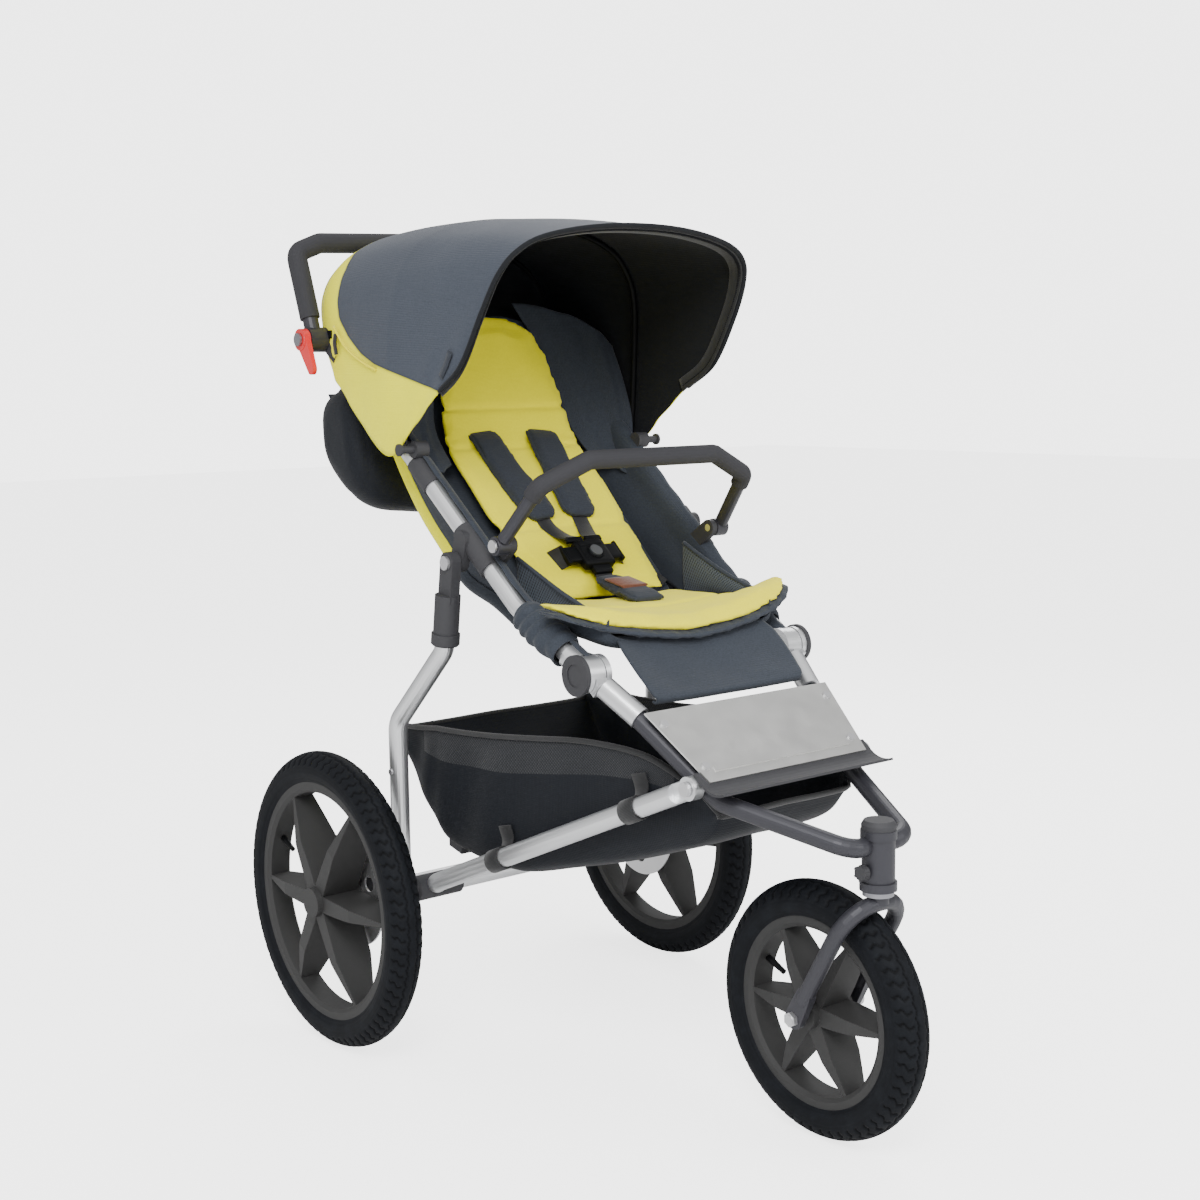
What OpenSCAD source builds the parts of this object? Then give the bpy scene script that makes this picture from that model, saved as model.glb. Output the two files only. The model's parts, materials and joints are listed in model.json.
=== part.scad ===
// Three-wheel jogging stroller with a folding aluminium frame.
// +Z is up and the front points along -Y. The origin is on the floor, in the middle of
// the length. Positions are written from the rear axle and moved there by at().

/* [Overall] */
// Distance between the front and the rear axle
wheelbase = 635; // [620:5:780]
// From the middle of the car to the middle of a rear wheel
half_track = 292; // [290:2:360]

/* [Wheels] */
// Outer radius of a rear tyre
rear_r = 201.5; // [190:0.5:245]
// Outer radius of the front tyre
front_r = 155; // [140:1:160]
// Width of a rear tyre
rear_tyre_w = 48; // [38:1:52]
// Width of the front tyre
front_tyre_w = 52; // [40:1:56]
// Height of a tyre above its rim
tyre_h = 40; // [34:1:46]
// Radius of the rear axle rod
axle_r = 8; // [6:0.5:10]
// Radius of the front axle
front_axle_r = 6; // [5:0.5:8]
// Number of spokes in each wheel
spokes = 6; // [5:1:8]

/* [Frame tubes] */
// Outer radius of the silver frame tubes
tube_r = 12.7; // [10:0.1:14]
// Outer radius of the black front tube
front_tube_r = 11; // [9:0.5:12]
// Wall of the frame tubes
tube_wall = 2; // [1.5:0.1:3]
// Outer radius of the handlebar's foam
grip_r = 14; // [12.5:0.5:16]
// Outer radius of the grab bar's foam
grab_r = 12; // [10:0.5:14]
// Thickness of the foam on the bars
foam_t = 3; // [2:0.5:4]
// Outer radius of the head tube
head_r = 19; // [17:0.5:22]
// Radius of the fork's steerer
steerer_r = 12.5; // [10:0.5:14]
// Radius of the fork's legs
fork_r = 9.75; // [8:0.25:11]

/* [Fits] */
// Radial gap of a running hinge or wheel bearing
running = 0.05; // [0.01:0.01:0.1]
// Side gap between pieces that turn against each other
side_gap = 0.8; // [0.5:0.1:1.5]
// Radius of the hinge bolts
bolt_r = 5; // [4:0.5:6]

/* [Seat] */
// Half width of the yellow seat liner
liner_w = 115; // [100:1:125]
// Thickness of the seat liner
liner_t = 18; // [12:1:24]
// Half width of the seat between its side panels
seat_w = 138; // [125:1:145]

/* [Canopy] */
// Outer radius of the front canopy panel about its pivot
canopy_r = 338; // [330:1:350]
// Half width of the front canopy panel
canopy_w = 218; // [216:1:222]
// Thickness of a canopy panel
canopy_t = 4; // [3:0.5:6]
// Angle of the front canopy panel's forward edge
canopy_front_angle = 137; // [125:1:145]

/* [Hidden] */

$fn = 48;
hull_fn = 32;
tube_sides = 24;
bend_steps = 6;

// the tyres are the longest thing, so they set the middle of the length
rear_y = (wheelbase + front_r - rear_r) / 2;
function at(x, y, z) = [x, y + rear_y, z];
function flip(p) = [-p.x, p.y, p.z];
function unit(v) = v / norm(v);
function lerp(a, b, t) = a + (b - a) * t;

// ---- hinge points, as [y, z] behind the rear axle and above the floor
fold_hub = [-407, 547];
rail_pivot = [-561, 431];
leg_foot = [-70, 215];
leg_top = [-180, 667];
seat_bight = [-247, 600];
canopy_pivot = [-85, 808];
grab_foot = [-256, 692];
handle_pivot = [122, 955];
steer_y = -wheelbase - 85;
fork_top_y = steer_y + rear_y;

// ---- where things stand across the width
hub_x = 165;
rail_front_x = front_tube_r + 129;
rail_rear_x = 195;
leg_foot_x = 225;
leg_top_x = 208;
handle_x = 222;
grab_x = 184;
grab_half = max(8, grab_r - foam_t + 0.5);

// ---- small parts
hub_r = 23;
ear_t = 8;
hub_half = 8;
hub_pin_r = 6;
plug_start = 27;
bracket_t = 6;
rear_hub_r = 20;
rear_hub_half = 35;
disc_r = 72;
disc_t = 2.5;
frame_slope = atan2(134, 172);
tube_rise = 335 / 405;
head_low = 320;
head_high = 390;
crown_z = 304;

// ---- tubes: a straight run between points, with round bends at the inner ones
function bend(p, i, b) =
  let (d = unit(p[i] - p[i - 1]), e = unit(p[i + 1] - p[i]), turn = acos(d * e),
       side = unit(e - d * (d * e)), c = p[i] - d * b * tan(turn / 2) + side * b)
  [for (j = [0:bend_steps]) let (a = turn * j / bend_steps)
    [c - side * b * cos(a) + d * b * sin(a), d * cos(a) + side * sin(a)]];
function route(p, b) =
  let (n = len(p) - 1)
  concat([[p[0], unit(p[1] - p[0])]],
    [for (i = [1:1:n - 1]) each bend(p, i, b)],
    [[p[n], unit(p[n] - p[n - 1])]]);
// carries one side direction along the route without twist
function carry(r, u, i = 0) = i == len(r) ? [] :
  let (w = unit(u - r[i][1] * (u * r[i][1]))) concat([w], carry(r, w, i + 1));
function rings(r, us, radius, sides) =
  [for (i = [0:len(r) - 1]) let (v = cross(r[i][1], us[i]))
    each [for (j = [0:sides - 1]) let (a = 360 * j / sides)
      r[i][0] + radius * (us[i] * cos(a) + v * sin(a))]];

module pipe(p, radius, b, wall = 0, sides = tube_sides) {
  r = route(p, b);
  m = len(r);
  start = abs(r[0][1].x) < 0.9 ? [1, 0, 0] : [0, 1, 0];
  us = carry(r, start);
  outer = rings(r, us, radius, sides);
  inner = wall > 0 ? rings(r, us, radius - wall, sides) : [];
  k = m * sides;
  skin = [for (i = [0:m - 2], j = [0:sides - 1]) let (q = (j + 1) % sides)
    [i * sides + j, (i + 1) * sides + j, (i + 1) * sides + q, i * sides + q]];
  solid_ends = [[for (j = [0:sides - 1]) j],
    [for (j = [sides - 1:-1:0]) (m - 1) * sides + j]];
  bore = [for (f = skin) [f[3] + k, f[2] + k, f[1] + k, f[0] + k]];
  open_ends = [for (j = [0:sides - 1]) let (q = (j + 1) % sides, e = (m - 1) * sides)
    each [[j, q, q + k, j + k], [e + q, e + j, e + j + k, e + q + k]]];
  polyhedron(points = concat(outer, inner),
    faces = wall > 0 ? concat(skin, bore, open_ends) : concat(skin, solid_ends), convexity = 8);
}

module rod(a, b, r) {
  d = b - a;
  translate(a) rotate([0, acos(d.z / norm(d)), atan2(d.y, d.x)]) cylinder(h = norm(d), r = r);
}
// cylinder along X from x0 to x1 at p = [y, z]
module across(p, r, x0, x1) {
  translate(at(x0, p.x, p.y)) rotate([0, 90, 0]) cylinder(h = x1 - x0, r = r);
}
module pair() {
  children();
  mirror([1, 0, 0]) children();
}
// a flat outline drawn in [y, z], from x0 to x1
module slab(points, x0, x1) {
  translate(at(x0, 0, 0)) rotate([90, 0, 90]) linear_extrude(x1 - x0) polygon(points);
}
// the sloping plane of the front frame: Y runs up to the fold hub, Z leaves its face
module on_front_slope() {
  translate(at(0, fold_hub.x, fold_hub.y)) rotate([frame_slope, 0, 0]) children();
}

// ---- wheels, built about Z and then laid along X
module wheel_frame(x, y, z) {
  translate(at(x, y, z)) rotate([0, 90, 0]) children();
}
function rim_half(w) = w / 2 - 6;
module rim(radius, w) {
  flange_r = radius - tyre_h + 1;
  well_r = flange_r - 6;
  open_r = flange_r - 15;
  half = rim_half(w);
  lip = 2.5;
  rotate_extrude() polygon([[open_r, -half + 4], [open_r + 5, -half], [flange_r, -half],
    [flange_r, -half + lip], [well_r, -half + lip], [well_r, half - lip], [flange_r, half - lip],
    [flange_r, half], [open_r + 5, half], [open_r, half - 4]]);
}
module tyre(radius, w) {
  flange_r = radius - tyre_h + 1;
  well_r = flange_r - 6;
  half = rim_half(w) - 2.5;
  skin = 4;
  rotate_extrude() difference() {
    union() {
      intersection() {
        translate([radius - w / 2, 0]) circle(w / 2);
        translate([flange_r, -w]) square([w, 2 * w]);
      }
      translate([well_r, -half]) square([8, 2 * half]);
    }
    intersection() {
      translate([radius - w / 2, 0]) circle(w / 2 - skin);
      translate([flange_r + skin, -w]) square([w, 2 * w]);
    }
    translate([well_r - 1, skin - half]) square([8 + skin, 2 * (half - skin)]);
  }
}
module spoke_star(radius, w, hub, depth) {
  open_r = radius - tyre_h - 14;
  root = 11;
  tip = 2.5;
  n = 8;
  leaf = concat([for (i = [0:n]) [hub - 6 + (open_r + 8 - hub) * i / n, tip + (root - tip) * cos(90 * i / n)]],
    [for (i = [n:-1:0]) [hub - 6 + (open_r + 8 - hub) * i / n, -tip - (root - tip) * cos(90 * i / n)]]);
  intersection() {
    linear_extrude(2 * depth, center = true)
      for (i = [0:spokes - 1]) rotate(360 * i / spokes + 30) polygon(leaf);
    rotate_extrude() polygon([[0, -depth], [open_r * 0.58, -depth], [open_r + 2, 4 - rim_half(w)],
      [open_r + 2, rim_half(w) - 4], [open_r * 0.58, depth], [0, depth]]);
  }
}
module rear_wheel() {
  color("black") difference() {
    union() {
      rim(rear_r, rear_tyre_w);
      spoke_star(rear_r, rear_tyre_w, rear_hub_r, 27);
      translate([0, 0, -rear_hub_half]) cylinder(h = 2 * rear_hub_half, r = rear_hub_r);
    }
    translate([0, 0, -rear_hub_half - 1]) cylinder(h = 2 * rear_hub_half - 4, r = axle_r + running);
  }
}
module rear_disc() {
  color("silver") translate([0, 0, -rear_hub_half - disc_t]) difference() {
    cylinder(h = disc_t, r = disc_r);
    translate([0, 0, -1]) cylinder(h = disc_t + 2, r = axle_r + 4);
    for (i = [0:5]) rotate(60 * i) translate([42, 0, -1]) cylinder(h = disc_t + 2, r = 11);
  }
}
module rear_wheel_left() mirror([1, 0, 0]) rear_wheel_right();
module rear_wheel_right() wheel_frame(half_track, 0, rear_r) rear_wheel();
module rear_tyre_right() color("#20242c") wheel_frame(half_track, 0, rear_r) tyre(rear_r, rear_tyre_w);
module rear_tyre_left() mirror([1, 0, 0]) rear_tyre_right();
module brake_disc_right() wheel_frame(half_track, 0, rear_r) rear_disc();
module brake_disc_left() mirror([1, 0, 0]) brake_disc_right();
module front_wheel() {
  hub = 18;
  half = 33;
  color("black") wheel_frame(0, -wheelbase, front_r) difference() {
    union() {
      rim(front_r, front_tyre_w);
      spoke_star(front_r, front_tyre_w, hub, 24);
      translate([0, 0, -half]) cylinder(h = 2 * half, r = hub);
    }
    translate([0, 0, -half - 1]) cylinder(h = 2 * half + 2, r = front_axle_r + running);
  }
}
module front_tyre() color("#20242c") wheel_frame(0, -wheelbase, front_r) tyre(front_r, front_tyre_w);

// ---- chassis: the lower rails, which carry the rear axle and the basket
rail_path = [at(rail_front_x, rail_pivot.x + 6, rail_pivot.y - 2.7),
  at(rail_rear_x, -80, 216), at(-rail_rear_x, -80, 216),
  at(-rail_front_x, rail_pivot.x + 6, rail_pivot.y - 2.7)];
eye_half = 7;
module lower_rails() {
  color("silver") difference() {
    union() {
      pipe(rail_path, tube_r, 34);
      pair() across(rail_pivot, tube_r + 1.5, rail_front_x - eye_half, rail_front_x + eye_half);
    }
    pair() across(rail_pivot, bolt_r + running, rail_front_x - 20, rail_front_x + 20);
    // the tube's end is pressed flat beside its eye
    pair() across(rail_pivot, tube_r + 14, rail_front_x + eye_half, rail_front_x + 30);
    pair() across(rail_pivot, tube_r + 14, rail_front_x - 30, rail_front_x - eye_half);
  }
}
module rear_axle() color("gray") across([0, rear_r], axle_r, 5 - half_track - rear_hub_half,
  half_track + rear_hub_half - 5);

// a clevis that grips the cross tube, holds the leg's foot and carries the axle
clevis_in = leg_foot_x - tube_r - side_gap;
clevis_out = leg_foot_x + tube_r + side_gap;
module axle_brackets() {
  boss = 17;
  color("#2a2c30") pair() difference() {
    union() {
      hull() {
        across(leg_foot, boss, clevis_in - bracket_t, clevis_out + bracket_t, $fn = hull_fn);
        across([0, rear_r], boss + 3, clevis_in - bracket_t, clevis_out + bracket_t, $fn = hull_fn);
      }
      across([-80, 216], boss, rail_rear_x - 52, clevis_in);
    }
    translate(at(clevis_in, leg_foot.x - 40, leg_foot.y - 60)) cube([clevis_out - clevis_in, 66, 120]);
    across(leg_foot, bolt_r, clevis_in - 20, clevis_out + 20);
    across([0, rear_r], axle_r, clevis_in - 20, clevis_out + 20);
    pipe(rail_path, tube_r, 34);
  }
}
module brake_calipers() {
  inner = half_track - rear_hub_half - disc_t;
  foot = clevis_out + bracket_t;
  color("#222428") pair() difference() {
    translate(at(foot, 0, rear_r)) rotate([-40, 0, 0]) {
      translate([0, -14, 50]) cube([inner + disc_t + 4.5 - foot, 28, 34]);
      translate([0, -10, 12]) cube([5, 20, 40]);
    }
    across([0, rear_r], disc_r + 1.5, inner - 1, inner + disc_t + 1);
    across([0, rear_r], axle_r, foot - 1, foot + 20);
  }
}
module brake_pedal() {
  color("#222428") difference() {
    union() {
      across([0, rear_r], axle_r + 6, -36, 36);
      slab([[6, rear_r - 8], [78, rear_r + 6], [80, rear_r + 14], [6, rear_r + 8]], -12, 12);
      slab([[60, rear_r + 1], [92, rear_r + 8], [92, rear_r + 18], [60, rear_r + 11]], -40, 40);
    }
    across([0, rear_r], axle_r + running, -40, 40);
  }
}

// the basket hangs between the rails: a tapered tub, open on top
basket_side = [[25, 417], [-30, 328], [-89, 258], [-218, 249], [-388, 296], [-545, 352],
  [-575, 398], [-480, 452], [-393, 458], [-180, 438], [22, 424]];
basket_wall = 3;
module basket_plan(w) {
  polygon([[at(0, 30, 0).y, 178 - w], [at(0, -80, 0).y, 176 - w], [at(0, -615, 0).y, 112 - w],
    [at(0, -615, 0).y, w - 112], [at(0, -80, 0).y, w - 176], [at(0, 30, 0).y, w - 178]]);
}
module basket_body(w) intersection() {
  rotate([90, 0, 90]) linear_extrude(500, center = true)
    translate([rear_y, 0]) offset(delta = -w) polygon(basket_side);
  rotate([0, 0, 90]) mirror([0, 1, 0]) linear_extrude(600) basket_plan(w);
}
module basket() {
  color("#1c2430") difference() {
    basket_body(0);
    basket_body(basket_wall);
    translate([0, 0, basket_wall + 8]) basket_body(basket_wall);
    translate([0, 0, 30]) basket_body(basket_wall);
  }
}

// ---- rear legs: black sleeve and hinge eye on top, silver tube below
leg_neck = at(leg_top_x, -163, 561);
leg_path = [at(leg_top_x, -169, 600), at(leg_top_x, -161, 552), at(leg_foot_x, -70, 446),
  at(leg_foot_x, leg_foot.x, leg_foot.y + 8)];
module rear_legs() {
  color("silver") pair() difference() {
    union() {
      pipe(leg_path, tube_r, 34);
      across(leg_foot, tube_r + 1, leg_foot_x - tube_r, leg_foot_x + tube_r);
    }
    across(leg_foot, bolt_r + running, leg_foot_x - 20, leg_foot_x + 20);
  }
}
sleeve_wall = 4;
leg_eye_half = 7;
module leg_sleeves() {
  shoulder = at(leg_top_x, -172, 625);
  color("#1f2226") pair() difference() {
    union() {
      rod(leg_neck + [0, 0, -2], shoulder, tube_r + sleeve_wall);
      translate(leg_neck) rod([0, 0, 0], 14 * unit(shoulder - leg_neck), tube_r + sleeve_wall + 2);
      hull() {
        across(leg_top, 14, leg_top_x - leg_eye_half, leg_top_x + leg_eye_half, $fn = hull_fn);
        across([-173, 618], 14, leg_top_x - leg_eye_half, leg_top_x + leg_eye_half, $fn = hull_fn);
      }
    }
    rod(leg_path[0], leg_path[0] + 1.5 * (leg_path[1] - leg_path[0]), tube_r);
    across(leg_top, bolt_r, leg_top_x - 20, leg_top_x + 20);
  }
}
module leg_bolts() {
  color("silver") pair() {
    across(leg_top, bolt_r, leg_top_x - leg_eye_half, leg_top_x + leg_eye_half);
    across(leg_top, bolt_r + 4, leg_top_x + leg_eye_half, leg_top_x + leg_eye_half + 4);
    across([leg_foot.x, 380], bolt_r - 1, leg_foot_x + tube_r - 3, leg_foot_x + tube_r + 1.5);
  }
}

// ---- front frame: the black tube loops round the head tube
sleeve_end = at(143, -474, 500);
front_path = [lerp(sleeve_end, at(hub_x, fold_hub.x, fold_hub.y), 0.35), at(112, -579, 413),
  [44, fork_top_y - 6, 373], [0, fork_top_y + 12, 371], [-44, fork_top_y - 6, 373],
  at(-112, -579, 413), flip(lerp(sleeve_end, at(hub_x, fold_hub.x, fold_hub.y), 0.35))];
module front_frame_tube() {
  color("#191b1f") difference() {
    union() {
      pipe(front_path, front_tube_r, 26);
      translate([0, fork_top_y, head_low]) cylinder(h = head_high - head_low, r = head_r);
      translate([0, fork_top_y, head_low]) cylinder(h = 10, r = head_r + 2.5);
      translate([0, fork_top_y, head_high - 10]) cylinder(h = 10, r = head_r + 2);
    }
    translate([0, fork_top_y, head_low - 1])
      cylinder(h = head_high - head_low + 2, r = steerer_r + running);
    pair() across(rail_pivot, bolt_r, 60, 160);
  }
}
module head_cap() {
  color("#141518") translate([0, fork_top_y, head_high]) rotate_extrude()
    polygon([[0, 1], [steerer_r, 1], [steerer_r, 0], [head_r + 1, 0], [head_r + 1, 6], [head_r - 2, 11], [0, 11]]);
}
// silver sleeves run from the fold hub over the ends of the black tube
module hub_sleeves() {
  hub = at(hub_x, fold_hub.x, fold_hub.y);
  way = unit(sleeve_end - hub);
  neck = [[0, -11], [0, 11], [plug_start + 3, 11], [plug_start + 3, -11]];
  color("silver") pair() difference() {
    union() {
      rod(hub + way * plug_start, sleeve_end, tube_r + 1.5);
      slab([for (q = neck) fold_hub + [q.x * way.y - q.y * way.z, q.x * way.z + q.y * way.y]],
        hub_x - hub_half, hub_x + hub_half);
      across(fold_hub, hub_r - 1, hub_x - hub_half, hub_x + hub_half);
    }
    across(fold_hub, hub_pin_r + running, hub_x - 20, hub_x + 20);
    rod(front_path[0], front_path[0] + 2 * (sleeve_end - front_path[0]), front_tube_r);
  }
}
plate_top = -90;
plate_low = -204;
plate_n = 20.6;
plate_t = 2.4;
plate_bolts = [[136, -111], [121, -181]];
module footplate() {
  color("silver") on_front_slope() difference() {
    union() {
      translate([0, 0, plate_n]) linear_extrude(plate_t)
        polygon([[-151, plate_top], [-130, plate_low], [130, plate_low], [151, plate_top]]);
      translate([-112, plate_low + 13, plate_n]) cube([224, 7, plate_t + 1.6]);
      translate([-138, plate_top - 4, plate_n - 8]) cube([276, 2.4, 9]);
      pair() for (b = plate_bolts) translate([b.x, b.y, plate_n - 3.2]) cylinder(h = 3.3, r = 7);
    }
    pair() for (b = plate_bolts) translate([b.x, b.y, plate_n - 10]) cylinder(h = 20, r = 3);
  }
}
module footplate_bolts() {
  color("silver") on_front_slope() pair() for (b = plate_bolts) translate([b.x, b.y, 0]) {
    translate([0, 0, plate_n - 6]) cylinder(h = 6 + plate_t, r = 3);
    translate([0, 0, plate_n + plate_t]) cylinder(h = 2.6, r = 5.5);
  }
}
// the lip curves up in front of the plate, from under its lower edge
module foot_lip() {
  n = 6;
  turn = 62;
  arc_r = 34;
  lip_t = 3;
  low = plate_n - lip_t - 0.1;
  function curve(r) = [for (i = [0:n]) let (a = turn * i / n)
    [plate_low - r * sin(a), low + lip_t + arc_r - r * cos(a)]];
  color("#17191c") on_front_slope() rotate([90, 0, 90]) linear_extrude(282, center = true)
    polygon(concat([[plate_low + 18, low], [plate_low + 18, low + lip_t]], curve(arc_r),
      reverse(curve(arc_r + lip_t))));
}
module rail_pivot_bolts() {
  color("gray") pair() {
    across(rail_pivot, bolt_r, 108, rail_front_x + eye_half + 6);
    across(rail_pivot, bolt_r + 3.5, rail_front_x + eye_half + side_gap, rail_front_x + eye_half + 6);
  }
}
module steering_lock_knob() {
  color("#141518") translate([-head_r - 3, fork_top_y, 344]) rotate([0, -90, 0]) {
    cylinder(h = 9, r = 8);
    for (a = [0, 60, 120]) rotate(a) translate([-9.5, -1.5, 2]) cube([19, 3, 7]);
  }
}

// ---- fork, front axle and its quick release
function fork_leg(t) = lerp(at(48, -wheelbase, front_r), [48, fork_top_y, crown_z], t);
module fork() {
  plate_x = 42;
  color("#191b1f") difference() {
    union() {
      pipe([fork_leg(0.16), [48, fork_top_y, crown_z], [-48, fork_top_y, crown_z], flip(fork_leg(0.16))],
        fork_r, 42);
      translate([0, fork_top_y, crown_z]) cylinder(h = head_high - crown_z - 3, r = steerer_r);
      pair() hull() {
        across([-wheelbase, front_r], 13, plate_x, plate_x + 8, $fn = hull_fn);
        across([-wheelbase - 18, front_r + 32], 11, plate_x, plate_x + 11, $fn = hull_fn);
      }
    }
    across([-wheelbase, front_r], front_axle_r, -70, 70);
  }
}
module fork_bearing() {
  color("#2a2c30") translate([0, fork_top_y, crown_z + fork_r + 0.1]) difference() {
    cylinder(h = head_low - crown_z - fork_r - 0.5, r = head_r - 1);
    translate([0, 0, -1]) cylinder(h = 30, r = steerer_r);
  }
}
module front_axle() {
  color("silver") {
    across([-wheelbase, front_r], front_axle_r, -58, 60);
    across([-wheelbase, front_r], 9, -57, -50, $fn = 6);
    across([-wheelbase, front_r], 9, 50, 53);
  }
}
module quick_release_lever() {
  turn = front_axle_r + running;
  color("silver") difference() {
    union() {
      across([-wheelbase, front_r], 10, 53.5, 61);
      hull() {
        across([-wheelbase + 8, front_r + 5], 5, 54, 60, $fn = hull_fn);
        across([-wheelbase + 52, front_r + 30], 6, 56, 60, $fn = hull_fn);
      }
    }
    across([-wheelbase, front_r], turn, 50, 64);
  }
}

// ---- side frame: the silver tubes from the fold hub up to the handlebar
function side_point(y) = at(178 + 17 * (y + 284) / 404, y, 617 + (y + 284) * tube_rise);
side_low = at(hub_x, fold_hub.x, fold_hub.y);
side_way = unit(side_point(-284) - side_low);
side_path = [side_low + side_way * plug_start, side_point(-284), side_point(handle_pivot.x - 10)];
module side_tubes() color("silver") pair() pipe(side_path, tube_r, 70, tube_wall);
// round hole for the straight upper run of a side tube
module side_bore() rod(side_point(-240), side_path[2], tube_r);
module hub_castings() {
  color("#b9bcc0") pair() difference() {
    union() {
      across(fold_hub, hub_r, hub_x - hub_half - side_gap - ear_t, hub_x - hub_half - side_gap);
      across(fold_hub, hub_r, hub_x + hub_half + side_gap, hub_x + hub_half + side_gap + ear_t);
      intersection() {
        rod(side_low + side_way * 14, side_low + side_way * (plug_start + 12), hub_r - 7);
        difference() {
          across(fold_hub, 60, hub_x - 18, hub_x + 18);
          across(fold_hub, hub_r + 0.6, hub_x - hub_half - side_gap, hub_x + hub_half + side_gap);
        }
      }
    }
    across(fold_hub, hub_pin_r, hub_x - 30, hub_x + 30);
    rod(side_path[0], side_path[0] + 30 * side_way, tube_r);
  }
}
hub_side = hub_x + hub_half + side_gap + ear_t;
module hub_pins() color("gray") pair()
  across(fold_hub, hub_pin_r, hub_x - hub_half - side_gap - ear_t, hub_side);
module hub_caps() {
  color("#15171a") pair() difference() {
    across(fold_hub, hub_r + 2, hub_side, hub_side + 6);
    across(fold_hub, hub_r - 9, hub_side + 4.5, hub_side + 7);
  }
}
// clamp on the side tube: foot of the grab bar above, hinge lug of the rear leg below
lug_out = leg_top_x - leg_eye_half - side_gap;
module frame_brackets() {
  color("#1f2226") pair() difference() {
    union() {
      rod(side_point(-232), side_point(-176), tube_r + 3.5);
      hull() {
        across(leg_top, 13, lug_out - 12, lug_out, $fn = hull_fn);
        across([-190, 695], 13, lug_out - 14, lug_out, $fn = hull_fn);
      }
      hull() {
        across(grab_foot, 11, grab_x - 19, grab_x - grab_half - side_gap, $fn = hull_fn);
        across([-222, 668], 12, grab_x - 19, grab_x - grab_half - side_gap, $fn = hull_fn);
      }
    }
    side_bore();
    across(grab_foot, bolt_r, grab_x - 40, grab_x);
  }
}
module handle_hubs() {
  color("#1f2226") pair() difference() {
    union() {
      across(handle_pivot, 17, 180, handle_x - 13 - side_gap);
      rod(side_point(handle_pivot.x - 30), side_point(handle_pivot.x - 6), tube_r + 3);
    }
    side_bore();
    across(handle_pivot, 40, handle_x - 13 - side_gap, handle_x + 10);
    across(handle_pivot, bolt_r, 170, 220);
  }
}
module handle_bolts() {
  color("#15171a") pair() {
    across(handle_pivot, bolt_r, 184, handle_x + 26);
    across(handle_pivot, 9, handle_x + 25, handle_x + 28);
  }
}
// ---- handlebar: tube with end eyes, foam over its whole upper run
handle_path = [at(handle_x, handle_pivot.x + 4, handle_pivot.y + 12), at(227, 157, 1075), at(188, 160, 1090),
  at(0, 160, 1096), at(-188, 160, 1090), at(-227, 157, 1075),
  at(-handle_x, handle_pivot.x + 4, handle_pivot.y + 12)];
grip_path = [for (i = [0:6]) i == 0 ? lerp(handle_path[0], handle_path[1], 0.16)
  : i == 6 ? lerp(handle_path[6], handle_path[5], 0.16) : handle_path[i]];
module handlebar_tube() {
  color("#1a1c20") difference() {
    union() {
      pipe(handle_path, grip_r - foam_t, 16, sides = 16);
      pair() across(handle_pivot, 17, handle_x - 13, handle_x + 13);
    }
    pair() across(handle_pivot, bolt_r + running, handle_x - 20, handle_x + 20);
  }
}
module handlebar_grip() color("#15171a") pipe(grip_path, grip_r, 16, foam_t, sides = 20);
module release_lever(side) {
  x0 = handle_x + 13 + side_gap;
  color("red") difference() {
    union() {
      across(handle_pivot, 15, x0, x0 + 10);
      hull() {
        across([handle_pivot.x - 2, handle_pivot.y], 13, x0 + 1, x0 + 9, $fn = hull_fn);
        across([handle_pivot.x - 24, handle_pivot.y - 40], 8, x0 + 2, x0 + 8, $fn = hull_fn);
      }
    }
    across(handle_pivot, bolt_r + running, x0 - 5, x0 + 20);
  }
}
module release_lever_right() release_lever();
module release_lever_left() mirror([1, 0, 0]) release_lever();

// ---- grab bar
grab_path = [at(grab_x, grab_foot.x - 8, grab_foot.y + 8), at(171, -322, 768), at(104, -336, 798),
  at(-104, -336, 798), at(-171, -322, 768), at(-grab_x, grab_foot.x - 8, grab_foot.y + 8)];
grab_foam_path = [lerp(grab_path[1], grab_path[0], 0.2), grab_path[1], grab_path[2], grab_path[3], grab_path[4],
  lerp(grab_path[4], grab_path[5], 0.2)];
module grab_bar_tube() {
  color("#1a1c20") difference() {
    union() {
      pipe(grab_path, grab_r - foam_t, 14, sides = 16);
      pair() across(grab_foot, 12, grab_x - grab_half, grab_x + grab_half);
    }
    pair() across(grab_foot, bolt_r + running, grab_x - 20, grab_x + 20);
  }
}
module grab_bar_foam() color("#15171a") pipe(grab_foam_path, grab_r, 14, foam_t, sides = 20);
module grab_bar_pins() {
  color("gray") pair() {
    across(grab_foot, bolt_r, grab_x - 19, grab_x + grab_half + 1);
    across(grab_foot, bolt_r + 3, grab_x + grab_half + side_gap, grab_x + grab_half + 4);
  }
}

// ---- seat: fabric parts, kept plain
seat_z = seat_bight.y - 8;
module seat_base() color("#4d5665") slab([[-398, seat_z - 14], [-256, seat_z - 14], [-256, seat_z],
  [-398, seat_z]], -seat_w, seat_w);
panel_t = 9;
module side_panels() {
  color("#4d5665") pair() slab([[-388, 566], [-322, 572], [-260, 580], [-195, 612], [-127, 634], [-69, 681], [-20, 725],
    [30, 790], [70, 862], [92, 908], [-284, 598]], seat_w + 3, seat_w + 3 + panel_t);
}
module seat_pad() {
  color("#d8e04a") {
    slab([[-400, seat_z + 0.5], [-256, seat_z + 0.5], [-256, seat_z + liner_t], [-400, seat_z + liner_t]],
      -liner_w, liner_w);
    pair() slab([[-424, seat_z + 6], [-352, seat_z + 8], [-352, seat_z + 26], [-424, seat_z + 20]], 0, 200);
  }
}
module leg_panel() color("#4d5665")
  slab([[-412, seat_z], [-480, 522], [-476, 518], [-402, seat_z - 14], [-402, seat_z]], -124, 124);
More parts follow.
